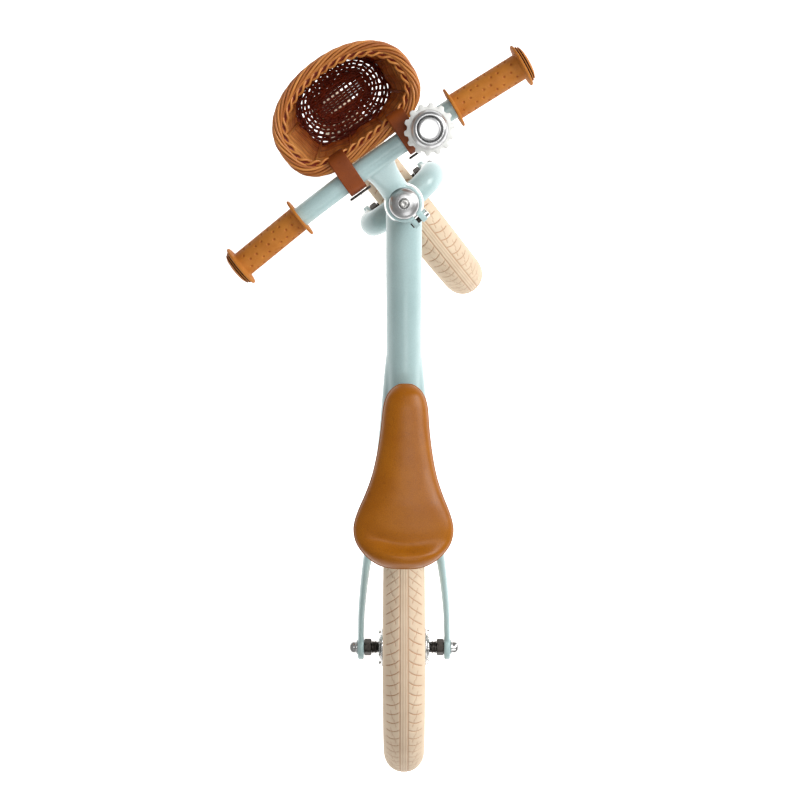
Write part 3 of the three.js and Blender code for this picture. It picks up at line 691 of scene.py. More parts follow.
def carve(obj, loops, matrix):
    """Cuts what the loops enclose out of an object."""
    tool = Shape().skin(loops).piece("tool", matrix, FINISHES["steel"])
    cut = obj.modifiers.new("cut", "BOOLEAN")
    cut.operation = "DIFFERENCE"
    cut.solver = "EXACT"
    cut.object = tool
    applied(obj)
    bpy.data.objects.remove(tool)


def weld(shape, name, matrix, slot, body, *nodes, voxel, smooth, rounds=0, welds=(), cuts=()):
    """A piece whose overlapping skins are melted into one, smoothed at its welds, then cut."""
    obj = shape.piece(name, matrix, FINISHES[slot])
    fuse(obj, voxel)
    relax(obj, matrix, rounds, welds)
    for loops in cuts:
        carve(obj, loops, matrix)
    finish_shading(obj.data, smooth)
    settle(obj, body, slot, *nodes)


# ---- Main frame ---------------------------------------------------------------------------------
def dropout_plate(name, side):
    """One dropout plate, in a frame whose middle is the axle's and whose x is along it."""
    low, high = (x - NARROWER[name] for x in DROPOUT)
    return rod(DROPOUT_RADIUS[name], low, high, "x", 40, 1.5) * (side, 1, 1)


def build_main_frame():
    shape = Shape()
    path = smooth_path([(0, y, z) for y, z in MAIN_PATH], 60)
    shape.skin(tube(path, MAIN_RADIUS, sides=48, side=X_AXIS))
    for side in (1, -1):
        stay = [(side * (out - width / 2), y, z, width, height) for y, z, out, width, height in STAY]
        shape.skin(limb(stay, 90, 28, share=0.5, power=0.8))
        shape.skin(dropout_plate("rear", side) + (0, 0, WHEEL_RADIUS))
    head = rod(HEAD_TUBE["outer"], HEAD_TUBE["bottom"], HEAD_TUBE["top"], sides=56, edge=0.8)
    shape.skin(moved(head, BIKE.inverted() @ STEERING))
    top, bottom = SEAT_TUBE["top"], SEAT_TUBE["bottom"]
    shape.skin(moved(rod(SEAT_TUBE["outer"], bottom, top, sides=48, edge=0.8), SEAT_FRAME))
    bore = moved(rod(SEAT_TUBE["inner"], bottom - 9, top + 5, edge=0), SEAT_FRAME)
    welds = [(0, 384, 386, 34), (0, 340, 366, 34), (0, 300, 345, 34), (0, 262, 318, 30),
             (0, 205, 296, 40), (0, 462, 418, 26)]
    weld(shape, "frame_skin", BIKE, "frame_paint", "frame", "main_tube", "right_rear_stay",
         "left_rear_stay", "head_tube", "seat_tube", voxel=1.5, smooth=50, rounds=14, welds=welds,
         cuts=[bore])


def build_seat_clamp():
    top = SEAT_TUBE["top"]
    place = BIKE @ SEAT_FRAME
    collar = Shape().skin(rod(19.5, top + 0.4, top + 13, edge=1.4))
    collar.skin(block((-7, -29, top + 1.5), (7, -15, top + 12)))
    bore = rod(SEAT_TUBE["inner"] + 0.2, top - 5, top + 30, edge=0)
    slit = block((-1.5, -32, top - 4), (1.5, -10, top + 30))
    weld(collar, "seat_clamp_ring", place, "chrome", "frame", "seat_clamp", voxel=0.8, smooth=40,
         cuts=[bore, slit])
    across = place @ Matrix.Translation((0, -24.5, top + 6.7)) @ Matrix.Rotation(math.pi / 2, 4, "Y")
    bolt = Shape().skin(socket_head(4.8, 4.4, 2.4, 2.4) + (0, 0, 7.2))
    bolt.skin(rod(2.7, -9, 7.6, sides=32))
    add(bolt, "seat_clamp_screw", across, "steel", "frame", "seat_clamp_bolt")


# ---- Headset ------------------------------------------------------------------------------------
def build_headset():
    top, bottom = HEAD_TUBE["top"], HEAD_TUBE["bottom"]
    low, high = top + 6.4, COLLAR["bottom"] - 0.3
    bore = 13.2
    upper = raised(top, (bore, 0.3), (19.4, 0.3), (20.2, 2), (20.2, 4.6), (19, 6), (bore, 6))
    lower = raised(bottom, (bore, -4.5), (19, -4.5), (20.2, -3.4), (20.2, -1.6), (19.4, -0.3), (bore, -0.3))
    cover = [(13, low), (20.4, low), (20.4, low + 4), *raised(high, (19.2, -2.4), (18.6, 0), (13, 0))]
    for name, node, profile, body in (("upper_cup", "upper_headset_cup", upper, "frame"),
                                      ("lower_cup", "lower_headset_cup", lower, "frame"),
                                      ("bearing_cover", "headset_cover", cover, "steering")):
        add(lathe(profile, edge=0.7, closed=True), name, STEERING, "chrome", body, node)
    cap = [(4.4, -3), (14.6, -3), (15.1, -2.4), (15.1, -1.4), (14.2, 0.1), (12, 1.6), (8.8, 2.7),
           (6.2, 3.2), (5.4, 3.3), (5.1, 2.4), (4.4, 2.2)]
    add(lathe(cap, sides=72, edge=0.5, closed=True), "steering_cap", STEERING, "chrome", "steering",
        "top_cap", material=BRUSHED)
    screw = Shape().skin(socket_head(4.2, 3.4, 2.5, 2.6))
    add(screw, "steering_cap_screw", STEERING @ Matrix.Translation((0, 0, 1)), "steel", "steering",
        "top_cap_bolt")


# ---- Fork ---------------------------------------------------------------------------------------
def build_fork():
    shape = Shape()
    for side in (1, -1):
        shape.skin(limb(np.array(FORK_LEG) * (side, 1, 1, 1, 1), 90, 30, side=(0, 1, 0)))
        shape.skin(dropout_plate("front", side) + (0, AXLE_IN_FORK.y, AXLE_IN_FORK.z))
    weld(shape, "fork_skin", STEERING, "frame_paint", "steering", "right_fork_leg", "left_fork_leg",
         voxel=1.3, smooth=60, rounds=6, welds=[(0, 0, -160, 30)])


# ---- Stem and bar -------------------------------------------------------------------------------
def bar_point(x):
    return np.array([x, BAR["y"] - BAR["sweep"] * (x / GRIP["outer"]) ** 2, BAR["z"]])


def build_stem_and_bar():
    shape = Shape()
    end = GRIP["end"] - 6
    shape.skin(tube([bar_point(x) for x in np.linspace(-end, end, 150)], BAR["radius"], sides=44))
    top, bottom, outer = COLLAR["top"], COLLAR["bottom"], COLLAR["outer"]
    shape.skin(rod(outer, bottom, top, sides=56, edge=1.6))
    neck = [(0, 2, -19, 14.5, 12.5), (0, 18, -11, 14, 11.5), (0, 32, 6, 14.5, 10),
            (0, 44, 25, 18, 8.5), (0, BAR["y"], BAR["z"], 21, 7)]
    shape.skin(limb(neck, 40, 32))
    half, middle, tall = EAR["slit"] / 2, (top + bottom) / 2, EAR["height"] / 2
    wide = half + EAR["thick"]
    ears = block((-wide, -EAR["reach"], middle - tall), (wide, -outer + 4, middle + tall))
    shape.skin(moved(ears, EAR_TURN))
    bore = rod(15.7, top - 1.5, 70, sides=72, edge=0)
    slit = moved(block((-half, -40, bottom - 5), (half, -5, top + 12)), EAR_TURN)
    welds = [(0, 44, 24, 24), (14, 47, 30, 18), (-14, 47, 30, 18), (0, 18, -10, 15)]
    weld(shape, "stem_and_handlebar", BAR_FRAME, "frame_paint", "steering", "stem", "handlebar",
         voxel=1.1, smooth=42, rounds=16, welds=welds, cuts=[bore, slit])


def build_pinch_bolt():
    middle = (COLLAR["top"] + COLLAR["bottom"]) / 2
    place = BAR_FRAME @ EAR_TURN @ Matrix.Translation((0, -EAR["reach"] + 5, middle))
    across = place @ Matrix.Rotation(math.pi / 2, 4, "Y")
    ear = EAR["slit"] / 2 + EAR["thick"]
    head = Shape().skin(socket_head(4.6, 4.3, 2.4, 2.6) + (0, 0, ear))
    add(head, "stem_screw_head", across, "dark_steel", "steering", material=FINISHES["chrome"])
    bolt = Shape().skin(rod(2.8, -ear - 1.5, ear + 0.4, sides=32, edge=0.3))
    add(bolt, "stem_screw", across, "dark_steel", "steering", "stem_pinch_bolt")


def dimple_depth(along, angle, radius):
    """Small round pits in pairs, row after row staggered round the grip."""
    rows, period = 12, 22.2
    first, last = 7, 68
    pit_radius, pit_depth = 1.5, 0.8
    row_angle = 2 * np.pi / rows
    row = np.round(angle / row_angle)
    place = (along - first - (row % 2) * period / 2) % period
    across = (angle - row * row_angle) * radius
    nearest = np.minimum(np.hypot(place - 3.7, across), np.hypot(place - 11.1, across))
    inside = (along > first) & (along < last)
    return np.clip(pit_radius - nearest, 0, pit_depth) * inside


def build_grip(side):
    inner, radius, flange = GRIP["inner"], GRIP["radius"], GRIP["flange"]
    neck, length = GRIP["outer"] - inner, GRIP["end"] - inner
    profile = [(10.6, 0), (flange - 0.5, 0), (flange, 0.5), (flange, 1.7), (flange - 0.5, 2.2),
               (radius + 0.8, 2.5)]
    profile += [(radius, h) for h in np.arange(3.4, neck - 1.2, 0.55)]
    profile += raised(neck, (radius + 0.8, -0.6), (flange + 0.4, 0), (flange + 1, 0.5), (flange + 1, 1.9),
                      (flange + 0.4, 2.4), (14.4, 2.5), (14.4, 3.7), (17.6, 3.8), (17.9, 4.2), (17.6, 4.7),
                      (13.7, 4.8), (13.7, 5.9), (16.4, 6), (16.6, 6.4), (15.2, 7.2), (12.4, 8.3), (9.6, 8.8))
    profile += [(5, length), (TIP, length + 0.1)]
    r, h = np.array(profile).T[:, :, None]
    # The end plug's slots go into groove at 2, so the grip's finish paints them with its darkest painted
    # shade.
    slots = (np.abs(h - neck - 4.2) < 1.8) & (r < 15)
    angle = circle(200)
    pit = dimple_depth(h, angle, radius) * (np.abs(r - radius) < 0.01)
    r = r - 0.9 * pit
    shape = Shape().skin(xyz(r * np.cos(angle), r * np.sin(angle), h), groove=pit + 2 * slots,
                         grain=xyz(h, radius * np.cos(angle), radius * np.sin(angle)))
    start = Vector(bar_point(inner))
    direction = Vector(bar_point(GRIP["outer"]) - bar_point(inner)).normalized()
    turn = Vector(Z_AXIS).rotation_difference(direction).to_matrix().to_4x4()
    name, base = ("right", BAR_FRAME) if side > 0 else ("left", mirrored(BAR_FRAME))
    add(shape, name + "_grip_sleeve", base @ Matrix.Translation(start) @ turn, "grip", "steering",
        name + "_grip", smooth=40)


# ---- Bell ---------------------------------------------------------------------------------------
def build_bell():
    x, y, foot, gear = BELL["x"], BELL["y"], BELL["foot"], BELL["gear"]
    place = BAR_FRAME @ Matrix.Translation((x, y, 0))
    band = [(10.4, x - 7), (13, x - 7), (13, x + 7), (10.4, x + 7)]
    base = lathe(band, "x", 56, 0.8, closed=True)
    base.points[0] += (0, *bar_point(x)[1:])
    foot_plate = [(0, foot - 1), (6.5, foot - 1)]
    foot_plate += raised(gear, (6.5, -5), (14.4, -4.4), (15, -3.8), (15, -0.4), (0, -0.4))
    base.skin(turned(foot_plate, edge=0.5) + (x, y, 0))
    base.skin(rod(3.4, gear - 1, gear + 5) + (x, y, 0))
    add(base, "bell_base", BAR_FRAME, "black_plastic", "steering", "bell_foot")

    angle = circle(BELL["teeth"] * 24)
    tip, root = BELL["tip"], BELL["root"]
    wave = np.tanh(1.9 * np.cos(BELL["teeth"] * angle))
    tooth = (tip + root) / 2 + (tip - root) / 2 * wave / math.tanh(1.9)
    rows = raised(gear, (4, 0.2), (tooth - 0.8, 0.2), (tooth - 0.15, 0.7), (tooth, 1.4), (tooth, 3.8),
                  (tooth - 0.2, 4.5), (tooth - 0.8, 5), (18.6, 5.2), (4, 5))
    ring = Shape().skin(rings(rows, angle), closed=True)
    add(ring, "bell_toothed_ring", place, "white_plastic", "bell_ring", "bell_gear_ring", smooth=60)

    low = gear + 5.3
    dome = raised(low, (4, 0), (17.3, 0), (17.9, 0.8), (17.9, 1.6), (17.2, 2.2), (17.4, 3), (17.3, 5),
                  (16.6, 7.4), (15.4, 9.2), (13.8, 10.2), (12.6, 10.3), (11.9, 9.7), (11.6, 7.6),
                  (10.6, 6.9), (4, 6.9))
    add(lathe(dome, sides=96, edge=0.7, closed=True), "bell_shell", place, "chrome", "steering",
        "bell_dome", material=BRUSHED, smooth=50)
    cap = raised(low, (0, 6.6), (9.8, 6.6), (10.5, 8), (10.5, 10.6), (10, 11.4), (9.2, 11.6),
                 (8.8, 11.3), (4, 11.4), (0, 11.4))
    add(lathe(cap, sides=80, edge=0.35), "bell_button", place, "chrome", "steering", "bell_cap",
        material=BRUSHED)


# ---- Basket -------------------------------------------------------------------------------------
def basket_loop(t, grow=0.0, count=216, flat=BASKET_FLAT):
    """A level loop of the basket at a share of its height, evenly spaced, and its outward directions."""
    mix = {key: BASKET_FOOT[key] + (BASKET_TOP[key] - BASKET_FOOT[key]) * t for key in BASKET_TOP}
    angle = circle(720)
    c, s = np.cos(angle), np.sin(angle)
    power = np.where(s < 0, flat, 0.95)
    depth = np.where(s < 0, mix["back"], mix["front"]) + grow
    x = mix["x"] + (mix["half"] + grow) * np.sign(c) * np.abs(c) ** power
    y = mix["y"] + depth * np.sign(s) * np.abs(s) ** power
    path = even(xyz(x, y, mix["z"]), count, closed=True)
    along = directions(path, closed=True)
    return path, xyz(along[:, 1], -along[:, 0], 0)


def build_basket_wall(rng):
    """Rows of strands that swing in and out between upright stakes."""
    shape = Shape()
    rows, count, inset = 36, 216, -2.0
    phase = np.linspace(0, FLUTES * np.pi, count, endpoint=False)
    for i in range(rows):
        path, outward = basket_loop((i + 0.6) / rows, inset, count)
        swing = 1.25 * np.sin(phase) + 0.4 * (-1) ** i * np.sin(phase * 2)
        path = path + outward * swing[:, None]
        path[:, 2] += 0.25 * np.sin(3 * phase / FLUTES + i) + rng.normal(0, 0.08)
        add_strand(shape, path, 1.5, rng, 6, closed=True)
    for k in range(FLUTES):
        place = int((k + 0.5) / FLUTES * count)
        sign = 1 if k % 2 else -1
        stake = []
        for t in np.linspace(-0.02, 1.04, 14):
            path, outward = basket_loop(t, inset, count)
            stake.append(path[place] + outward[place] * sign)
        add_strand(shape, smooth_path(stake, 28), 1.35, rng, 8, side=X_AXIS)
    add(shape, "basket_weave", BAR_FRAME, "wicker", "steering", "basket_wall", smooth=80)


def build_basket_base(rng):
    """Rings that go over and under short spokes, and sticks both ways across the middle."""
    shape = Shape()
    level = BASKET_FOOT["z"] + 2.4
    count = 216
    for k, grow in enumerate((-2.2, -4.8, -7.4, -11.0, -14.6, -18.3, -21.2, -24.1, -27.0)):
        path, outward = basket_loop(0.0, grow, count, min(0.9, BASKET_FLAT - 0.025 * grow))
        phase = np.linspace(0, FLUTES * np.pi, count, endpoint=False) + k * np.pi
        path[:, 2] = level + np.sin(phase)
        path = path + outward * (0.35 * np.sin(2.3 * phase + k))[:, None]
        add_strand(shape, path, 1.58 + rng.normal(0, 0.08), rng, closed=True)
    for start, end in zip(*(basket_loop(0.0, grow, FLUTES * 2)[0] for grow in (-1.0, -30))):
        line = np.linspace(start, end, 8)
        line[:, 2] = level
        add_strand(shape, line, 1.4, rng)
    middle = np.array([BASKET_FOOT["x"], BASKET_FOOT["y"], level])
    for offset in (-13.2, -10.4, -6.1, -3.2, -0.3, 2.6, 7.0, 9.9, 12.8):
        line = middle + np.linspace((-29, offset, 0.6), (29, offset, 0.6), 12)
        add_strand(shape, line, 1.35, rng, 8)
    for offset in (-25, -19, -14.5, -9, -3.5, 2, 7.5, 13, 18, 24):
        line = middle + np.linspace((offset, -30, -0.8), (offset, 30, -0.8), 12)
        add_strand(shape, line, 1.35, rng, 8)
    # The floor's strands take the darker wicker, which is painted shade.
    add(shape, "basket_floor", BAR_FRAME, "wicker", "steering", "basket_base", material=SHADED_WICKER,
        smooth=80)


def wind(shape, rng, strands, turns, grow, reach, radius, count):
    """Strands wound round each other along the rim, each closing on itself after whole turns."""
    path, outward = basket_loop(1.0, grow, count)
    for k in range(strands):
        phase = np.linspace(0, 2 * np.pi * turns, count, endpoint=False) + 2 * np.pi * k / strands
        line = path + outward * (reach[0] * np.cos(phase))[:, None]
        line[:, 2] += 5 + reach[1] * np.sin(phase)
        add_strand(shape, line, radius, rng, 10, closed=True)


def build_basket_rim(rng):
    """A border of long strands wound in a flat rope, with a thin twist along its inner edge."""
    shape = Shape()
    count = 420
    wind(shape, rng, strands=8, turns=4, grow=-3.1, reach=(3.9, 3.3), radius=1.3, count=count)
    wind(shape, rng, strands=2, turns=17, grow=-10.0, reach=(2.1, 1.6), radius=1.2, count=2 * count)
    for grow in (-0.4, -3.6):
        band, _ = basket_loop(0.99, grow, count)
        add_strand(shape, band + (0, 0, -0.6), 1.6, rng, 8, closed=True)
    # A dark core under the rope: painted shade, seen through the gaps between its strands.
    path, _ = basket_loop(1.0, -6.0, count)
    core = Shape().skin(tube(path + (0, 0, 4.0), 5.4, 2.0, 12, closed=True), closed=True)
    add(core, "basket_border_shade_core", BAR_FRAME, "wicker", "steering", material=SHADED_WICKER, smooth=80)
    add(shape, "basket_border", BAR_FRAME, "wicker", "steering", "basket_rim", material=RIM_WICKER,
        smooth=80)


def rim_retreat(x):
    """How far the rim's back has curved forward at x from its middle line."""
    share = abs(x - BASKET_TOP["x"]) / BASKET_TOP["half"]
    return BASKET_TOP["back"] * (1 - (1 - share ** (2 / BASKET_FLAT)) ** (BASKET_FLAT / 2))


def build_strap(side, x):
    """A leather band with rounded edges that goes round the bar and under the basket's rim."""
    outline = [(-13, 0), (-9.4, 9.4), (0, 13), (8, 13.6), (16, 12.9), (22.5, 10),
               (25.8, 2), (26, -8), (20, -13.6), (7, -14.2), (-6, -12.6)]
    line = [(0, y + (rim_retreat(x) if y > 12 else 0), z) for y, z in outline]
    path = smooth_path(line, 120, closed=True)
    along = directions(path, closed=True)
    face = xyz(0, along[:, 2], -along[:, 1])
    half, thick = STRAP["width"] / 2, STRAP["thick"] / 2
    section = rounded([(-half, -thick), (half, -thick), (half, thick), (-half, thick)], 0.8, closed=True)
    loops = []
    for across, out in densified(section, 1.6):
        crown = 0.25 * (1 - (across / half) ** 2)
        groove = 0.18 * np.exp(-((abs(across) - half + 1.8) / 0.5) ** 2)
        loops.append(path + (across, 0, 0) + face * (out + (crown - groove) * np.sign(out)))
    matrix = BAR_FRAME @ Matrix.Translation(Vector(bar_point(x)))
    band = Shape().skin(np.array(loops).transpose(1, 0, 2), closed=True)
    add(band, side + "_strap_band", matrix, "strap", "steering", side + "_strap", smooth=50)

    outline = rounded([(-11, -6), (11, -6), (11, 5), (-11, 5)], 1.5, 4, closed=True)
    wire = tube([(bx, -16.4, bz) for bx, bz in outline], 1.15, closed=True, side=(0, 1, 0))
    buckle = Shape().skin(wire, closed=True)
    buckle.skin(tube(np.linspace((0, -16.6, 5), (0, -17.4, -6.5), 8), 0.8, sides=10, side=X_AXIS))
    add(buckle, side + "_strap_buckle", matrix, "dark_steel", "steering", side + "_buckle")


# ---- Wheels -------------------------------------------------------------------------------------
def pulse(distance, half_width):
    """1 on a line, falling smoothly to 0 at a half width."""
    share = np.clip(np.abs(distance) / half_width, 0, 1)
    return (1 - share ** 2) ** 2


def tread_depth(around, across):
    """How deep the tread is cut, in millimetres, at distances round the tyre and across it."""
    pitch = 2 * math.pi * WHEEL_RADIUS / TREAD_BLOCKS
    width = np.abs(across)
    first, last = 5.2, 25.5  # the chevrons' ends, from the tyre's middle line
    ribs = 0.5 * pulse(width - 1.6, 0.7) + pulse(width - 4.8, 0.8)
    curve = 8.8 * (1 - np.exp(-np.clip(width - first, 0, None) / 9))
    block_number, place = np.divmod(around + curve + pitch / 2, pitch)
    place = place - pitch / 2
    shoulder = np.clip(width - first, 0, 1) * np.clip((last - width) / 2, 0, 1)
    chevron = 1.2 * pulse(place, 0.8) * shoulder
    sipe_line = width - (11.2 + 4.4 * (block_number % 2) + 0.25 * place)
    sipe = 0.7 * pulse(sipe_line, 0.7) * (np.abs(place) > 1.2)
    return np.maximum(np.maximum(ribs, chevron), sipe)


def build_tyre(name):
    half_tread, step = 27.0, 0.75
    lateral = np.arange(-half_tread, half_tread + step / 2, step)
    side = np.linspace(half_tread / TYRE_RADIUS, math.radians(151), 14)[1:]
    section = np.concatenate([-side[::-1], lateral / TYRE_RADIUS, side])
    centre = WHEEL_RADIUS - TYRE_RADIUS
    bead = np.array([(12, -0.6), (9.5, 0.4), (-9.5, 0.4), (-12, -0.6)])
    x = np.append(TYRE_RADIUS * np.sin(section), bead[:, 0])
    r = np.append(centre + TYRE_RADIUS * np.cos(section), BEAD_RADIUS + bead[:, 1])
    plain = np.zeros(len(bead))
    flat = np.append(np.abs(section) < half_tread / TYRE_RADIUS, plain > 0)
    across = np.append(section * TYRE_RADIUS, plain)
    wall = np.abs(section)
    ridge = np.append(0.5 * pulse(wall - 1.62, 0.05) + 0.4 * pulse(wall - 2.2, 0.04), plain)
    angle = circle(TREAD_BLOCKS * 16)[:, None]
    depth = np.zeros((len(angle), len(x)))
    depth[:, flat] = tread_depth(angle * WHEEL_RADIUS, across[None, flat])
    grow = ridge - depth
    x = x + np.sin(across / TYRE_RADIUS) * grow
    r = r + np.cos(across / TYRE_RADIUS) * grow
    # groove holds the tread's depth; the tyre's finish turns it into painted shade in the grooves.
    shape = Shape().skin(xyz(x, r * np.sin(angle), r * np.cos(angle)), closed=True, groove=depth,
                         grain=xyz(angle * WHEEL_RADIUS, across, 0 * depth))
    add(shape, name + "_tyre_tread", WHEELS[name], "tyre", WHEEL_BODY[name], name + "_tyre", smooth=80)


def build_rim(name):
    side = [(-3, -8), (0, -11), (1.6, -12.2), (0.6, -13), (-5, -12.6), (-8, -9)]
    side = [(BEAD_RADIUS - 0.8 + r, x) for r, x in side] + [(RIM_INNER, -5.6)]
    profile = side + [(r, -x) for r, x in side[::-1]]
    rim = lathe(profile, "x", 144, 0.9, closed=True)
    add(rim, name + "_wheel_rim", WHEELS[name], "chrome", WHEEL_BODY[name], name + "_rim", smooth=50)


def spoke_end(radius, angle, x):
    return np.array([x, radius * math.sin(angle), radius * math.cos(angle)])


def add_spoke(shape, half, side, i):
    """A spoke bent through the hub's flange, its head there and its nipple at the rim."""
    start_angle = 2 * math.pi / SPOKES_PER_SIDE * (i + (0 if side > 0 else 0.5))
    swing = math.radians(38 if i % 2 else -38) * 0.62
    hole_radius = 20.5
    start = spoke_end(hole_radius, start_angle, side * (half - 1.6))
    end = spoke_end(RIM_INNER + 0.5, start_angle + swing, side * 3)
    inward = np.array([-side * 3.2, 0, 0])
    bend = [start - inward * 0.9, start + inward * 0.1, start + (end - start) * 0.05]
    line = np.concatenate([smooth_path(bend, 8), np.linspace(bend[2], end, 12)[1:]])
    away = (0.3, 0.9, 0.2)
    shape.skin(tube(line, 0.95, sides=10, side=away))
    direction = unit(end - start)
    nipple = [end - direction * reach for reach in (9, 8.6, 3, 0)]
    shape.skin(tube(nipple, [1.0, 1.7, 1.9, 2.6], side=away))
    shape.skin(tube([bend[0], start - inward * 1.25], [1.9, 1.4]))


def build_hub(name):
    half = HUB_HALF - NARROWER[name]
    right = [(11.5, 5), *raised(half, (12.4, -8), (15, -5), (21.6, -3.2), (23.3, -2.6), (23.3, -0.8),
                                (21.6, -0.2), (14, 0), (AXLE_RADIUS + 0.5, 0))]
    shape = lathe([(r, -x) for r, x in right[::-1]] + right, "x", edge=0.8, closed=True)
    for side in (-1, 1):
        for i in range(SPOKES_PER_SIDE):
            add_spoke(shape, half, side, i)
    add(shape, name + "_hub_spokes", WHEELS[name], "chrome", WHEEL_BODY[name], name + "_hub_and_spokes",
        smooth=45)


def build_axle_end(name, side):
    """The hub's dust dish, bearing cone, lock nut and domed nut on one end of an axle."""
    base = WHEELS[name] if side > 0 else mirrored(WHEELS[name])
    matrix = base @ Matrix.Translation((-NARROWER[name], 0, 0))
    prefix = name + ("_right_" if side > 0 else "_left_")
    bore = AXLE_RADIUS + 0.3
    low, high = DISH
    dish = raised(low, (bore + 0.2, 0), (15.2, 0), (15.6, 0.8), (15, 1.9), (12.6, 2.4))
    dish += raised(high, (10.6, -0.9), (9.4, 0), (8.2, -0.5), (bore + 0.2, -0.6))
    low, high = CONE
    cone = raised(low, (bore, -0.8), (6.2, -0.8), (7.3, 1.4), (7.3, 3.2), (6.6, 3.5), (6.6, 4.1), (7.3, 4.4))
    cone += [(7.3, high), (bore, high)]
    low, high = DOME_NUT
    radius, rise = 8.5, 6.4
    dome = raised(low, (bore, 0), (8.9, 0), (9.3, 0.5), (9.3, 1.4), (9.1, 2), (radius, 2.2))
    dome += [(radius * math.cos(a), high - rise + rise * math.sin(a))
             for a in np.radians(np.arange(0, 91, 12))]
    dome.append((0, high))
    nut = Shape().skin(hex_nut(LOCK_NUT_CORNER, *LOCK_NUT, bore), closed=True)
    wheel, fork = WHEEL_BODY[name], FORK_BODY[name]
    for part, node, shape, slot, body in (
        ("dust_dish", "hub_dish", lathe(dish, "x", closed=True), "chrome", wheel),
        ("bearing_cone", "cone", lathe(cone, "x", 48, 0.3, closed=True), "dark_steel", fork),
        ("hex_nut", "lock_nut", nut, "dark_steel", fork),
        ("acorn_nut", "dome_nut", lathe(dome, "x", 56, 0.3), "chrome", fork),
    ):
        add(shape, prefix + part, matrix, slot, body, prefix + node)


def build_axle(name):
    end = DOME_NUT[1] - 5 - NARROWER[name]
    pitch = 1.25
    thread = [(AXLE_RADIUS - 0.25 + 0.2 * math.sin(2 * math.pi * x / pitch), x)
              for x in np.arange(-end, end, 0.3)]
    axle = lathe([(0, -end), *thread, (0, end)], "x", 28, 0)
    add(axle, name + "_wheel_axle", WHEELS[name], "steel", FORK_BODY[name], name + "_axle")


# ---- Saddle -------------------------------------------------------------------------------------
SADDLE_OUTLINE = [
    (107.2, 9), (108.6, 19), (112, 28), (118, 37), (127.3, 45.8), (137, 51), (148, 52.9), (158, 51.6),
    (169.6, 47.8), (181, 43), (192.8, 38.4), (204, 34.7), (216.8, 31.5), (235, 28.2), (254.3, 25.6),
    (270, 24.2), (282, 22.8), (292, 19.6), (299, 14.8), (303.4, 8.6), (304.6, 4),
]
SADDLE_TOP = [
    (107, 391), (112, 399.5), (117, 403.6), (122, 404.2), (129, 400.2), (138, 396.4), (150, 397.6),
    (175, 399.8), (215, 398.4), (254, 398), (280, 398.2), (294, 396.4), (301, 391.6), (304.6, 387),
]


def build_saddle_cover(matrix):
    """The padded cover, from its tail to its nose, and the piping round its hem."""
    rows = smooth_path([(y, half, 0) for y, half in SADDLE_OUTLINE], 180)
    top = np.interp(rows[:, 0], *zip(*SADDLE_TOP))
    for _ in range(6):
        top[1:-1] = 0.25 * top[:-2] + 0.5 * top[1:-1] + 0.25 * top[2:]
    angle = np.radians(np.linspace(0, 180, 97))
    rise = np.sin(angle) ** 0.95
    tuck = np.radians(np.linspace(180, 360, 25))[1:-1]
    under = np.abs(np.sin(tuck))
    edge = 3.2
    loops = []
    for (y, half, _), height in zip(rows, top):
        x = half * np.cos(angle)
        crease_y = 130.5 - 0.1 * x + 0.005 * x ** 2
        valley = 4.6 * np.exp(-((y - crease_y) / 7.6) ** 2) * np.clip(1 - (x / 46) ** 2, 0, 1)
        z = SADDLE_FLOOR + edge + (height - SADDLE_FLOOR - edge) * rise - valley * rise ** 3
        low = xyz(half * np.cos(tuck) * (1 - 0.1 * under), y, SADDLE_FLOOR + edge * (1 - under ** 0.5))
        loops.append(np.concatenate([xyz(x, y, z), low]))
    cover = add(Shape().skin(loops), "saddle_padding", matrix, "saddle_cover", "saddle", "saddle_cover",
                smooth=70)

    hem = [(half + 0.1, y, SADDLE_FLOOR + 2.6) for y, half in SADDLE_OUTLINE]
    hem += [(-x, y, z) for x, y, z in hem[::-1]]
    piping = Shape().skin(tube(smooth_path(hem, 260, closed=True), 0.95, sides=10, closed=True), closed=True)
    add(piping, "saddle_piping", matrix, "saddle_cover", "saddle", smooth=60)


def build_saddle_underside(matrix):
    """The plastic shell with its ribs, the rail, the cradle with its nuts, and the post."""
    low, high = SADDLE_FLOOR - 3.3, SADDLE_FLOOR - 0.2
    loops = []
    for y, half in SADDLE_OUTLINE[2:-2]:
        wide, narrow = 0.86 * half, 0.8 * half
        section = rounded([(-narrow, low), (narrow, low), (wide, high), (-wide, high)], 1, closed=True)
        loops.append([(x, y, z) for x, z in section])
    shell = Shape().skin(loops)
    for y in (150, 170, 190):
        shell.skin(block((-30, y, SADDLE_FLOOR - 5), (30, y + 2, SADDLE_FLOOR - 3)))
    add(shell, "saddle_shell", matrix, "black_plastic", "saddle", "saddle_pan")
    z = SADDLE_FLOOR - 7.4
    side = [(24, 126, z + 3), (23.4, 134, z), (22, 150, z), (21, 200, z), (18, 240, z), (10, 274, z)]
    line = side + [(0, 283, z + 1)] + [(-x, y, h) for x, y, h in side[::-1]]
    rail = Shape().skin(tube(smooth_path(line, 140), 3.4, sides=20))
    add(rail, "saddle_wire", matrix, "dark_steel", "saddle", "saddle_rail")
    cradle = Shape().skin(block((-28, 184, z - 8.6), (28, 212, z + 1.4)))
    cradle.skin(moved(rod(16, 60, 76, edge=1), SEAT_FRAME))
    weld(cradle, "saddle_cradle", matrix, "dark_steel", "saddle", "saddle_clamp", voxel=1.1, smooth=40)
    nut = hex_nut(7.4, -33, -28.2, 3.2) + (0, 198, z - 4)
    nuts = Shape().skin(nut, closed=True).skin(nut * (-1, 1, 1), closed=True)
    add(nuts, "saddle_cradle_nuts", matrix, "steel", "saddle")
    post = Shape().skin(rod(SEAT_POST["radius"], SEAT_POST["bottom"], SEAT_POST["top"], sides=56, edge=0.8))
    add(post, "saddle_post", matrix @ SEAT_FRAME, "chrome", "saddle", "seat_post")


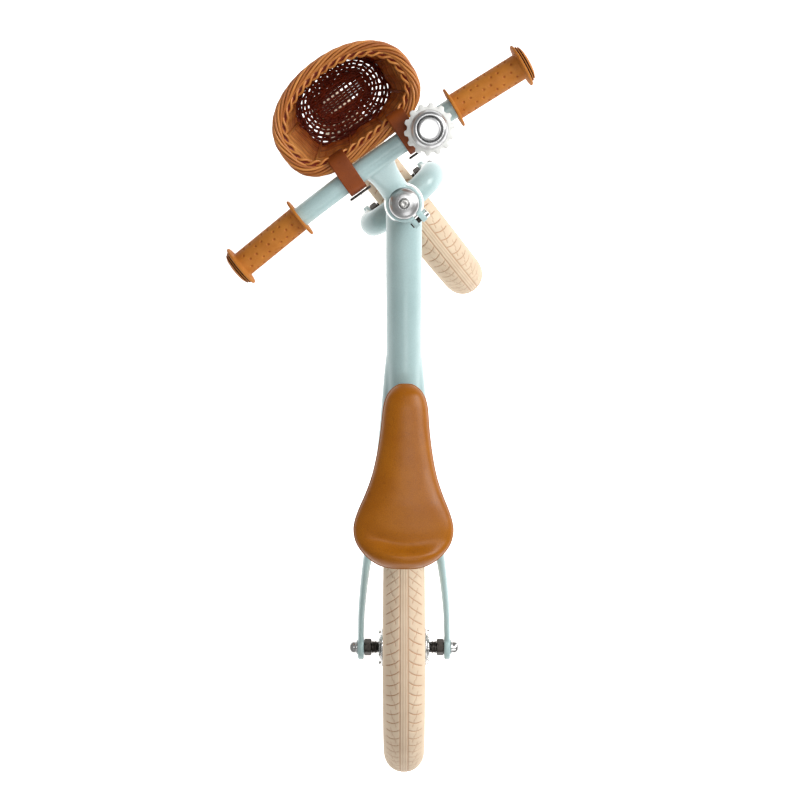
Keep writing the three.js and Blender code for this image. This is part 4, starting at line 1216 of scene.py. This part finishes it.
def build_saddle():
    seat_up = Vector((0, -math.sin(SEAT_AXIS["lean"]), math.cos(SEAT_AXIS["lean"])))
    pivot = Matrix.Translation((0, SEAT_AXIS["y"], SEAT_AXIS["z"]))
    matrix = BIKE @ pivot @ Matrix.Rotation(SADDLE_TURN, 4, seat_up) @ pivot.inverted()
    build_saddle_cover(matrix)
    build_saddle_underside(matrix)


# ---- Stage --------------------------------------------------------------------------------------
CAMERA_HEIGHT = 1.9
CAMERA_AHEAD = 0.1698  # of the rear axle
FOCAL = 1.7625  # focal length as a share of the sensor's width
SENSOR = 36
FLOOR_HALF = 30
FLOOR_DROP = 0.0006  # clears the tyres
LIGHT_AIM = (0, 0.05, 0.3)


def build_camera():
    camera = bpy.data.cameras.new("camera")
    camera.sensor_width = SENSOR
    camera.lens = FOCAL * SENSOR
    camera.shift_x = -0.005
    camera.shift_y = 0.1375
    obj = linked("camera", camera)
    obj.location = (REAR_AXLE.x, REAR_AXLE.y + CAMERA_AHEAD, CAMERA_HEIGHT)
    bpy.context.scene.camera = obj


def build_floor():
    made = Finish("floor", Roughness=0.9, Specular_IOR_Level=0.1)
    made.colour(made.cloud(made.position(), 3, 2, (0.3, (0.9, 0.9, 0.9, 1)), (0.7, (0.93, 0.93, 0.93, 1))))
    made.shader.inputs["Emission Color"].default_value = WHITE
    made.shader.inputs["Emission Strength"].default_value = 0.95
    mesh = bpy.data.meshes.new("floor")
    corners = [(x * FLOOR_HALF, y * FLOOR_HALF, 0) for x, y in ((-1, -1), (1, -1), (1, 1), (-1, 1))]
    mesh.from_pydata(corners, [], [(0, 1, 2, 3)])
    mesh.materials.append(made.material)
    floor = linked("floor", mesh)
    floor.location.z = -FLOOR_DROP


def area_light(name, place, aim, size, energy):
    """A square lamp at a place, turned to a point."""
    light = bpy.data.lights.new(name, "AREA")
    light.shape = "SQUARE"
    light.size = size
    light.energy = energy
    obj = linked(name, light)
    obj.location = place
    obj.rotation_euler = (Vector(aim) - Vector(place)).to_track_quat("-Z", "Y").to_euler()


def build_lights():
    scene = bpy.context.scene
    scene.world = bpy.data.worlds.new("studio")
    scene.world.use_nodes = True
    background = scene.world.node_tree.nodes["Background"]
    background.inputs["Color"].default_value = WHITE
    background.inputs["Strength"].default_value = 0.26
    area_light("key", (2.0, 0.9, 2.1), LIGHT_AIM, 1.5, 54)
    area_light("top", (0.5, 0.0, 3.1), LIGHT_AIM, 1.4, 19)
    area_light("rear", (0.6, -1.9, 2.2), (0, -0.4, 0.2), 1.2, 9)
    scene.view_settings.view_transform = "Standard"


build_camera()
build_floor()
build_lights()
build_main_frame()
build_seat_clamp()
build_headset()
build_fork()
build_stem_and_bar()
build_pinch_bolt()
build_grip(1)
build_grip(-1)
build_bell()
dice = np.random.default_rng(SEED)
build_basket_wall(dice)
build_basket_base(dice)
build_basket_rim(dice)
build_strap("right", STRAP["right_x"])
build_strap("left", STRAP["left_x"])
for wheel in WHEELS:
    build_tyre(wheel)
    build_rim(wheel)
    build_hub(wheel)
    build_axle(wheel)
    build_axle_end(wheel, 1)
    build_axle_end(wheel, -1)
build_saddle()
steerer = frame["nodes"]["steerer"].data
steerer.materials.clear()
steerer.materials.append(FINISHES["steel"])
